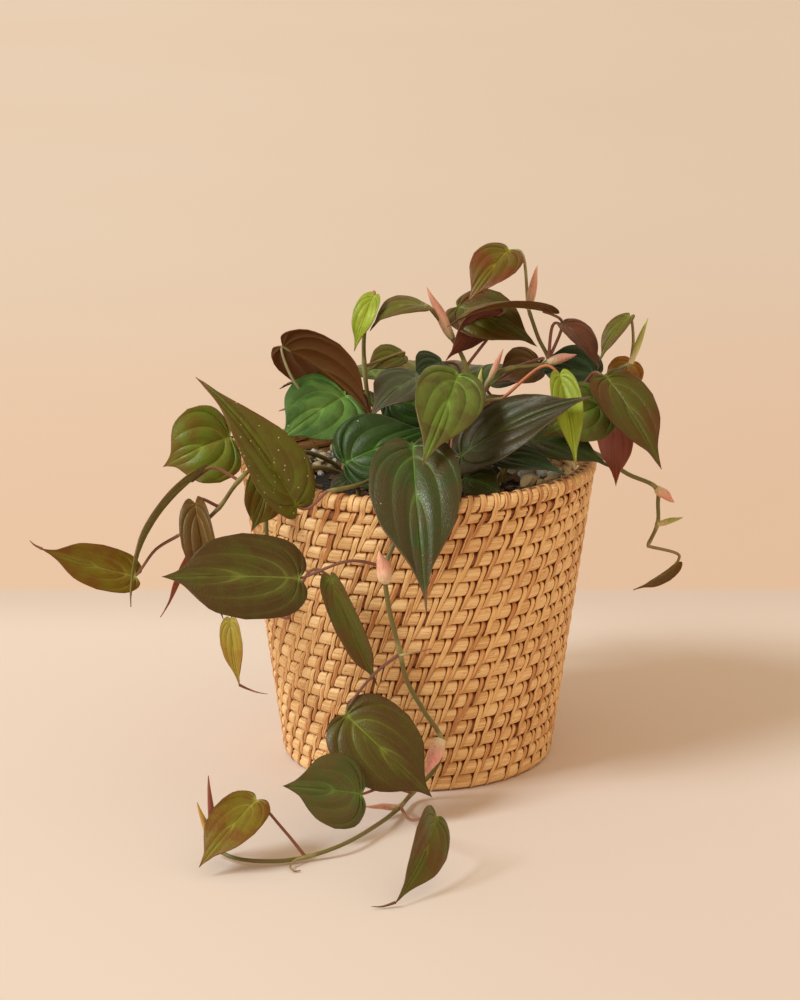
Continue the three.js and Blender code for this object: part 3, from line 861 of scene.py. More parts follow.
def rim_path(weave, long):
    """Path of a wrap from the rim's inner side over its top to the seam under it, and for a
    long wrap on across the next row. Also how far each of its points lies out."""
    middle, half, _ = weave.row(0)
    path, lift = [], [h for _, h in RIM_WRAP]
    for degrees, h in RIM_WRAP:
        x, y = math.cos(math.radians(degrees)), math.sin(math.radians(degrees))
        size = (abs(x) ** RIM_SQUARE + abs(y) ** RIM_SQUARE) ** (-1 / RIM_SQUARE)
        path.append(middle + np.array([x, y]) * size * h)
    if not long:
        # It turns in under the rim and ends in the seam.
        a = math.radians(-68)
        path.append(middle + np.array([math.cos(a), math.sin(a)]) * 3.6)
        path.append(middle + np.array([0.9, -half]))
        return np.array(path), lift + [2.8, 1.2]
    below, half, _ = weave.row(1)
    path += [below + weave.across * half * c + weave.out * h for c, h in LONG_WRAP]
    return np.array(path), lift + [h for _, h in LONG_WRAP]


# Half height and depth of the base's reeds, height of their middles over the floor, and how far
# they sink under a strip as a share of their depth.
BASE_HALF, BASE_DEPTH, BASE_LEVEL, BASE_DIP = 3.5, 3.1, 3.9, 0.2
# Columns of points along a base reed from one strip to the next, and its swelling there.
BASE_CELL, BASE_SWELL = np.array([0.0, 0.12, 0.4, 0.7, 0.9, 1.0]), [0, 0.8, 1, 1, 0.8, 0]
BASE_STRIP, BASE_SPACING = 1.5, 11  # Half width of a strip, and spacing of the strips.
BASE_LIFT = np.array([1.0, 2.4, 2.85, 2.9, 2.85, 2.4, 1.0])  # Of a strip's points, out of the reed.
BASE_RADII = np.arange(60.6, 4, -7.0)


def base_ring(radius, count, draw, name):
    """One ring of the coiled base, and the course of the strips that bind it."""
    c, side = np.array(REED_ROUND, float).T
    edge = (np.arange(count) + draw.normal(0, 0.05, count)) * TURN / count
    wide = np.diff(np.append(edge, edge[0] + TURN))
    strip = BASE_STRIP / radius
    free = (wide - 2 * strip).clip(0.02)[:, None]
    angle = (edge[:, None] + strip + free * BASE_CELL).reshape(-1)
    sunk = (1 - np.tile(BASE_SWELL, count))[:, None]
    crest = (1 - np.abs(c) ** REED_SQUARE).clip(0) ** (1 / REED_SQUARE)
    high = BASE_DEPTH * crest * side * (1 - sunk * BASE_DIP * (side > 0))
    ring, column, place = ring_grid(name, count, len(BASE_CELL), len(c), radius, BASE_HALF)
    at = round_basket(radius - BASE_HALF * c, angle[:, None], BASE_LEVEL - high)
    place_points(ring.data, at[column, place])
    ring_uv(ring, column, place, angle, radius, BASE_HALF * c + 3 * radius)
    # Stain and painted shade: darker towards the seams and where the reed sinks under a strip.
    crease_shade_and_stain = (1 - crest) ** 1.5 + 0.5 * sunk
    store(ring.data, "crease_shade_and_stain", crease_shade_and_stain[column, place].clip(0, 1))
    store_same(ring.data, "tone", 0.5)
    span = np.linspace(-1, 1, len(BASE_LIFT))
    path = np.stack([radius - BASE_HALF * span, BASE_LEVEL - BASE_LIFT], 1)
    turns = np.stack([edge] * len(BASE_LIFT))
    return ring, (path, BASE_LIFT, turns, np.full(count, strip)), draw.uniform(0, 1, count)


def make_reeds(settings):
    weave = Weave(settings)
    reed = rattan_material("Rattan reed", settings.reed, settings.reed_dark, settings.seam)
    rings = [reed_ring(weave, i, f"row_{i}") for i in range(weave.rows)]
    half = weave.rows // 2
    for name, part in (("basket_reeds_upper", rings[:half]), ("basket_reeds_lower", rings[half:])):
        piece = joined(part, name)
        smooth(piece)
        finish_piece(piece, "basket", "rattan", reed)


def make_strips(settings):
    weave = Weave(settings)
    strip = rattan_material("Rattan strip", settings.strip, settings.strip_dark, settings.seam)
    stations, lift = zip(*STRIP_LIFT)
    template = strip_template(len(stations))

    def laid(shape, path, lifts, i, turns, *taper):
        return strips(shape, path, lifts, turns, weave.half_width(i), weave.thick,
                      weave.tone[i + 1], *taper)

    batches = [laid(template, wall_path(weave, i, stations, lift), lift, i,
                    weave.strip_angle(i, stations)) for i in range(1, weave.rows - 1)]
    wall = laid_strips("basket_strips", batches)
    batches = []
    for i, long in ((0, True), (-1, False)):
        path, lifts = rim_path(weave, long)
        # A wrap goes over the rim, down to the seam under it, and on if it is a long one.
        s = np.interp(np.arange(len(path)), [0, 4, 11, 15], [-0.1, 0, 0.5, 1.0])
        batches.append(laid(strip_template(len(path)), path, lifts, i, weave.strip_angle(i, s),
                            np.ones_like))
    # Inside the rim a row of strips goes on down the wall.
    path = wall_path(weave, 1, stations, [h * 0.98 for h in lift], inside=True)
    turns = weave.strip_angle(1, stations) + 0.02
    batches.append(laid(template, path[::-1], lift, 1, turns[::-1], np.ones_like))
    rim = laid_strips("rim_wraps", batches)
    for piece in (wall, rim):
        smooth(piece, 40)
        finish_piece(piece, "basket", "rattan", strip)


def make_base(settings):
    """The base seen from below: rings of reed bound with strips, round a small knob."""
    draw = np.random.default_rng(13)
    reed, strip = bpy.data.materials["Rattan reed"], bpy.data.materials["Rattan strip"]
    rings, batches = [], []
    template = strip_template(len(BASE_LIFT))
    thick = settings.strip_thickness / MM
    for k, radius in enumerate(BASE_RADII):
        count = max(6, round(TURN * radius / BASE_SPACING))
        ring, course, tones = base_ring(radius, count, draw, f"base_{k}")
        rings.append(ring)
        batches.append(strips(template, *course, thick, tones, np.ones_like))
    deselect()
    bpy.ops.mesh.primitive_uv_sphere_add(segments=20, ring_count=10, radius=0.0034)
    knob = bpy.context.object
    flat = points_of(knob.data) / MM * (0.9, 0.9, 0.85)
    place_points(knob.data, flat + (0, 0, BASE_LEVEL))
    knob.data.uv_layers[0].name = "fibres"
    store_same(knob.data, "crease_shade_and_stain", 0.0)
    store_same(knob.data, "tone", 0.4)
    piece = joined(rings + [knob], "basket_base")
    smooth(piece)
    finish_piece(piece, "basket", "rattan", reed)
    bound = laid_strips("base_strips", batches)
    smooth(bound, 40)
    finish_piece(bound, "basket", "rattan", strip)


# Pot, soil and stones.


def make_pot(_settings):
    """The nursery pot is the CAD's own solid, in black moulded plastic."""
    m, g, s, bump = new_material("Pot plastic")
    place = g.place()
    grain = g.noise(place, 1800.0, 3.0, 0.6)
    dust = g.noise(place, 60.0, 4.0, 0.6)
    g.feed(s["Base Color"], g.mix(g.fade(dust, 0.5, 0.75, 0.0, 0.5), (0.012, 0.012, 0.013),
                                  (0.05, 0.043, 0.036)))
    g.feed(s["Roughness"], g.fade(dust, 0.3, 0.7, 0.42, 0.65))
    bump(grain, 0.0001, 0.5)
    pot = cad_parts["nursery_pot"]
    pot.data.materials.clear()
    pot.data.materials.append(m)


# Height of the soil at the wall and at its crown, radius of the heap, height of the pot.
SOIL_EDGE, SOIL_CROWN, HEAP_RADIUS, POT_TOP = 138, 142, 54, 134
SOIL_RADIUS, SOIL_FOOT_RADIUS, SOIL_BOTTOM = 78.0, 58.0, 9.6
CHIPS, CHIP_REACH, CHIP_RISE = 150, 74, 0.9
CHIP_SIZES = [(3, 8), (1.6, 4), (0.9, 2.2)]  # Range of a chip's length, width and thickness.
# Shades of the stones, with the share of the stones that has each.
STONES = [
    ((214, 206, 188), 0.22), ((192, 180, 160), 0.2), ((178, 162, 136), 0.17),
    ((160, 136, 104), 0.13), ((200, 164, 112), 0.1), ((126, 104, 80), 0.1),
    ((222, 198, 158), 0.08),
]
# Stones lie in two layers. Each has the inner and outer radius of its ring, the scale of its
# stones, the height of its foot and of a stone's middle as a share of its size, and how near two
# stones can come, as a share of both their sizes.
Layer = namedtuple("Layer", "inner outer scale foot middle near")
LOWER_LAYER = Layer(56, 77.5, 1, SOIL_EDGE, 0.45, 0.78)
UPPER_LAYER = Layer(63, 77, 0.8, SOIL_EDGE + 4.2, 0.4, 0.7)
LOWER_SHARE = 0.62  # Share of the stones that lie on the soil, under the others.
STONE_SIZES = (0.45, 1.5)  # Range of the stones' sizes, as shares of a middling one's.
STONE_CHIPS, CHIP_DEPTHS = 7, (0.62, 0.9)  # Flat places of a stone, and how far in they lie.


def soil_height(x, y):
    """Height of the soil, heaped in the middle and a little cloddy, as in the CAD."""
    part = np.clip(1 - np.hypot(x, y) / HEAP_RADIUS, 0, None)
    heap = (SOIL_CROWN - SOIL_EDGE) * np.minimum(1, 1.6 * part)
    clods = np.sin(0.37 * x + 1.3) * np.cos(0.31 * y) + 0.6 * np.sin(0.23 * (x - y))
    return SOIL_EDGE + heap + clods * np.minimum(1, 3 * part)


def turned_any_way(draw):
    """A turn to a random direction, as a matrix."""
    return np.array(Vector(draw.normal(0, 1, 3)).to_track_quat("Z", "Y").to_matrix())


def turned_upright(angle):
    """A turn round the upright that leans a little, as a matrix for rows of points."""
    c, s = math.cos(angle), math.sin(angle)
    return np.array([[c, s, 0.15], [-s, c, 0.1], [0.1, -0.15, 1]])


def soil_bed():
    """Soil with a crumbled surface, made from a sphere that is pressed into the pot."""
    around, rings, top_rings = 280, 64, 54
    deselect()
    bpy.ops.mesh.primitive_uv_sphere_add(segments=around, ring_count=rings, radius=1)
    soil = bpy.context.object
    co = points_of(soil.data)
    angle = np.arctan2(co[:, 1], co[:, 0])
    polar = np.arccos(co[:, 2].clip(-1, 1)) / math.pi * rings
    below = polar - top_rings
    # Ring under the surface, radius and height.
    sides = np.array([
        [0, SOIL_RADIUS, SOIL_EDGE], [1, SOIL_RADIUS, POT_TOP + 0.3], [2, 74.0, POT_TOP + 0.2],
        [3, 70.0, 90], [6, SOIL_FOOT_RADIUS, SOIL_BOTTOM], [rings - top_rings, 0, SOIL_BOTTOM],
    ]).T
    surface = SOIL_RADIUS * (polar / top_rings).clip(0, 1) ** 0.85
    r = np.where(below > 0, np.interp(below, sides[0], sides[1]), surface)
    x, y = r * np.cos(angle), r * np.sin(angle)
    z = np.where(below > 0, np.interp(below, sides[0], sides[2]), soil_height(x, y))
    for k in np.flatnonzero(below <= 0):
        at = Vector((x[k], y[k], 0))
        crumb = noise.fractal(at * 0.16, 1.0, 2.1, 4) + 0.8 * abs(noise.noise(at * 0.55))
        z[k] += 1.5 * crumb * min(1, (SOIL_RADIUS - r[k]) / 3)
    place_points(soil.data, np.stack([x, y, z], 1))
    soil.name = soil.data.name = "soil_bed"
    smooth(soil)
    return soil


def bark_chips():
    """Bark chips half sunk in the soil, a third of them turned any way and the rest flat."""
    draw = np.random.default_rng(5)
    chips = []
    for k in range(CHIPS):
        a, out = draw.uniform(0, TURN), CHIP_REACH * draw.uniform(0, 1) ** 0.6
        x, y = out * math.cos(a), out * math.sin(a)
        deselect()
        bpy.ops.mesh.primitive_cube_add(size=1)
        chip = bpy.context.object
        grow = draw.uniform(0.6, 1.4)
        size = np.array([draw.uniform(*span) for span in CHIP_SIZES]) * grow
        p = points_of(chip.data) * size
        p += draw.normal(0, 0.35, p.shape)
        way = turned_any_way(draw)
        if k % 3 == 0:
            c, s = math.cos(a * 5), math.sin(a * 5)
            p = p @ (way @ np.array([[c, -s, 0], [s, c, 0], [0, 0, 1]])).T
        else:
            p = p @ turned_upright(a * 7)
        place_points(chip.data, p + (x, y, float(soil_height(x, y)) + CHIP_RISE))
        store_same(chip.data, "tone", draw.uniform(0, 1))
        chips.append(chip)
    bark = joined(chips, "bark_chips")
    apply_modifier(bark, "BEVEL", width=0.0003, segments=1)
    smooth(bark, 30)
    return bark


def soil_material(settings):
    m, g, s, bump = new_material("Potting soil")
    place = g.place()
    crumb = g.noise(place, 700.0, 4.0, 0.7)
    speck = g.noise(place, 1500.0, 1.0, 0.5)
    dark = tuple(c * 0.45 for c in settings.soil)
    colour = g.mix(g.fade(crumb, 0.35, 0.7), dark, tuple(settings.soil))
    colour = g.mix(g.fade(speck, 0.74, 0.8, 0.0, 0.8), colour, to_linear((190, 178, 158)))
    g.feed(s["Base Color"], colour)
    s["Roughness"].default_value = 0.95
    bump(crumb, 0.0012, 1.0)
    return m


def bark_material(settings):
    m, g, s, bump = new_material("Bark")
    streak = g.noise(g.stretch(g.place(), (1, 1, 4)), 500.0, 4.0, 0.65)
    dark = tuple(c * 0.3 for c in settings.bark)
    colour = g.mix(g.fade(streak, 0.3, 0.7), dark, tuple(settings.bark))
    g.feed(s["Base Color"], g.mix(g.attribute("tone"), colour, to_linear((70, 46, 28))))
    s["Roughness"].default_value = 0.85
    bump(streak, 0.0006, 1.0)
    return m


def make_soil(settings):
    soil, bark = soil_bed(), bark_chips()
    finish_piece(soil, "potting_soil", "soil", soil_material(settings))
    finish_piece(bark, "potting_soil", "soil", bark_material(settings))


def chipped_stone(shape, size, draw):
    """A copy of the stone, chipped flat in its own places, squashed and turned."""
    p = shape
    for _ in range(STONE_CHIPS):
        n = draw.normal(0, 1, 3)
        n /= np.linalg.norm(n)
        depth = draw.uniform(*CHIP_DEPTHS)
        p = p - (p @ n - depth).clip(0)[:, None] * n
    p = p * (size * draw.uniform(0.8, 1.25, 3) * (1, 1, 0.85))
    return p @ turned_any_way(draw).T * (1, 1, 0.9)


def stone_places(count, middling, draw, make):
    """Lays stones along the wall in two layers, each clear of the others of its layer, and calls
    make with each one's place and size."""
    placed = []
    for _ in range(20000):
        if len(placed) == count:
            return
        layer = LOWER_LAYER if len(placed) < LOWER_SHARE * count else UPPER_LAYER
        size = middling * draw.uniform(*STONE_SIZES) * layer.scale
        out = math.sqrt(draw.uniform(layer.inner**2, (layer.outer - size * 0.9) ** 2))
        a = draw.uniform(0, TURN)
        x, y = out * math.cos(a), out * math.sin(a)
        if all((x - q[0]) ** 2 + (y - q[1]) ** 2 >= (layer.near * (size + q[2])) ** 2
               for q in placed if q[3] is layer):
            placed.append((x, y, size, layer))
            make((x, y, layer.foot + size * layer.middle), size)


def stone_material():
    m, g, s, bump = new_material("Pumice")
    place = g.place()
    pore = g.cells(place, 1400.0)["Distance"]
    rough = g.noise(place, 900.0, 4.0, 0.65)
    colour = g.mix(g.fade(rough, 0.3, 0.7, 0.25, 0.0), g.attribute("shade", "Color"),
                   to_linear((70, 58, 46)))
    colour = g.mix(g.fade(pore, 0.05, 0.3, 0.5, 0.0), colour, to_linear((84, 72, 60)))
    g.feed(s["Base Color"], colour)
    s["Roughness"].default_value = 0.92
    bump(g.plus(g.times(pore, 0.6), rough), 0.0007, 0.9)
    return m


def make_stones(settings):
    """Pumice and gravel heaped along the wall: one stone modelled and copied."""
    deselect()
    bpy.ops.mesh.primitive_ico_sphere_add(subdivisions=2, radius=1)
    first = bpy.context.object
    shape, faces = points_of(first.data), faces_of(first.data)
    bpy.data.objects.remove(first)
    draw = np.random.default_rng(23)
    shade_set = np.array([to_linear(shade) for shade, _ in STONES])
    shares = [part for _, part in STONES]
    points, all_faces, shades = [], [], []

    def lay(at, size):
        start = len(points) * len(shape)
        points.append(chipped_stone(shape, size, draw) + at)
        all_faces.extend([v + start for v in f] for f in faces)
        shade = shade_set[draw.choice(len(shade_set), p=shares)]
        shades.append(np.tile(shade * draw.uniform(0.85, 1.1), (len(shape), 1)))

    stone_places(settings.stones, settings.stone_radius / MM, draw, lay)
    stones = mesh_object("gravel_stones", np.vstack(points), all_faces)
    store(stones.data, "shade", np.vstack(shades))
    smooth(stones, 32)
    finish_piece(stones, "gravel", "pumice", stone_material())


# The plant.

# Colours of a leaf, as they show: face, patches, veins, margin and tip, underside.
FINISHES = {
    "slate": ((44, 55, 21), (60, 49, 24), (98, 132, 56), (110, 80, 60), (104, 60, 46)),
    "char": ((38, 39, 10), (46, 33, 10), (84, 96, 46), (96, 76, 56), (96, 56, 44)),
    "pine": ((76, 82, 36), (92, 78, 38), (116, 152, 62), (70, 54, 40), (90, 60, 40)),
    "bronze": ((70, 66, 14), (70, 48, 14), (128, 140, 56), (78, 48, 30), (106, 58, 40)),
    "umber": ((74, 62, 16), (74, 50, 16), (128, 140, 52), (78, 44, 32), (98, 52, 38)),
    "honey": ((160, 136, 46), (150, 110, 40), (184, 172, 80), (140, 84, 44), (150, 120, 50)),
    "khaki": ((76, 78, 14), (90, 58, 14), (128, 140, 46), (92, 50, 34), (104, 68, 38)),
    "brick": ((98, 72, 28), (92, 50, 22), (140, 104, 60), (120, 60, 44), (112, 62, 40)),
    "green": ((64, 84, 26), (78, 72, 22), (122, 162, 52), (84, 62, 38), (98, 60, 40)),
    "spring": ((92, 108, 34), (80, 72, 26), (136, 176, 62), (110, 74, 50), (98, 60, 40)),
    "bright": ((84, 118, 52), (54, 86, 36), (132, 170, 84), (70, 78, 36), (90, 84, 44)),
    "olive": ((84, 84, 20), (88, 62, 20), (132, 142, 50), (98, 56, 38), (112, 76, 40)),
    "gold": ((114, 98, 12), (112, 68, 10), (164, 164, 66), (118, 60, 34), (122, 80, 40)),
    "fresh": ((92, 108, 18), (100, 84, 14), (158, 166, 70), (112, 62, 34), (112, 92, 44)),
    "moss": ((90, 92, 18), (88, 74, 20), (122, 132, 34), (118, 52, 34), (70, 56, 30)),
    "lime": ((152, 166, 42), (126, 140, 32), (166, 178, 68), (132, 102, 54), (130, 120, 56)),
    "maroon": ((88, 44, 26), (68, 32, 20), (116, 72, 44), (118, 60, 46), (108, 48, 34)),
    "rust": ((96, 70, 16), (82, 48, 16), (126, 96, 34), (112, 54, 34), (84, 44, 12)),
    "pink": ((164, 92, 66), (132, 72, 50), (156, 98, 74), (164, 92, 76), (138, 70, 54)),
    "teal": ((30, 58, 32), (36, 46, 24), (76, 112, 62), (64, 52, 36), (76, 54, 38)),
    "deep": ((42, 66, 20), (50, 52, 18), (94, 130, 50), (72, 54, 34), (78, 50, 34)),
    "wet": ((36, 66, 18), (26, 48, 14), (92, 132, 54), (72, 66, 34), (78, 50, 34)),
    "ash": ((62, 66, 44), (60, 54, 38), (112, 124, 84), (112, 80, 66), (90, 60, 48)),
    "copper": ((92, 74, 12), (104, 48, 14), (150, 146, 36), (132, 62, 36), (98, 52, 24)),
    "amber": ((128, 88, 16), (138, 66, 20), (168, 140, 50), (150, 76, 40), (130, 70, 26)),
    "sedge": ((80, 84, 18), (94, 66, 18), (126, 136, 50), (92, 46, 34), (112, 70, 40)),
    "dusk": ((70, 68, 8), (82, 46, 8), (112, 116, 36), (92, 50, 34), (92, 60, 34)),
    "turned": ((118, 122, 44), (112, 96, 40), (140, 146, 70), (110, 74, 50), (104, 104, 56)),
}

# Leaf stalks that differ in colour from the rest.
STALKS = {"lime": (190, 104, 62), "spring": (132, 106, 56), "bright": (128, 108, 58),
          "fresh": (134, 92, 54), "bronze": (116, 64, 54), "umber": (122, 70, 60),
          "copper": (170, 158, 102), "maroon": (150, 84, 72), "olive": (146, 122, 62),
          "slate": (104, 84, 50), "rust": (140, 128, 92), "deep": (112, 88, 54)}

# Share of a leaf's pale specks that show.
SPECKS = {"moss": 0.4, "bright": 0.03, "slate": 0.02, "bronze": 0.015, "wet": 0.02}

# How far the wide part of a leaf lies towards its tip, where it isn't in the usual place.
FULLNESS = {"fresh": 0.14, "pine": 0.04, "sedge": 0.14, "bronze": 0.12, "umber": 0.07,
            "green": 0.04, "gold": 0.06, "moss": -0.11, "rust": 0.07, "bright": 0.05}

# Strength of the quilting, where it differs from the rest.
QUILTS = {"slate": 0.7, "char": 1.05, "umber": 0.85, "spring": 1.7, "bright": 1.6,
          "wet": 1.3, "bronze": 0.8, "copper": 1.5, "fresh": 1.2}

# A leaf grows from a numbered point of its stem. It has a base and a tip, the direction that it
# faces, its width, arch, fold in degrees and the curl of its tip, and a finish. Some have a point
# through which the petiole bends, and the points of a thin tail. A sheath sits on a numbered
# point of its stem, or starts at a place of its own.
Leaf = namedtuple("Leaf", "node base tip facing width arch fold curl finish bend tail",
                  defaults=(None, ()))
Sheath = namedtuple("Sheath", "start tip radius shade")

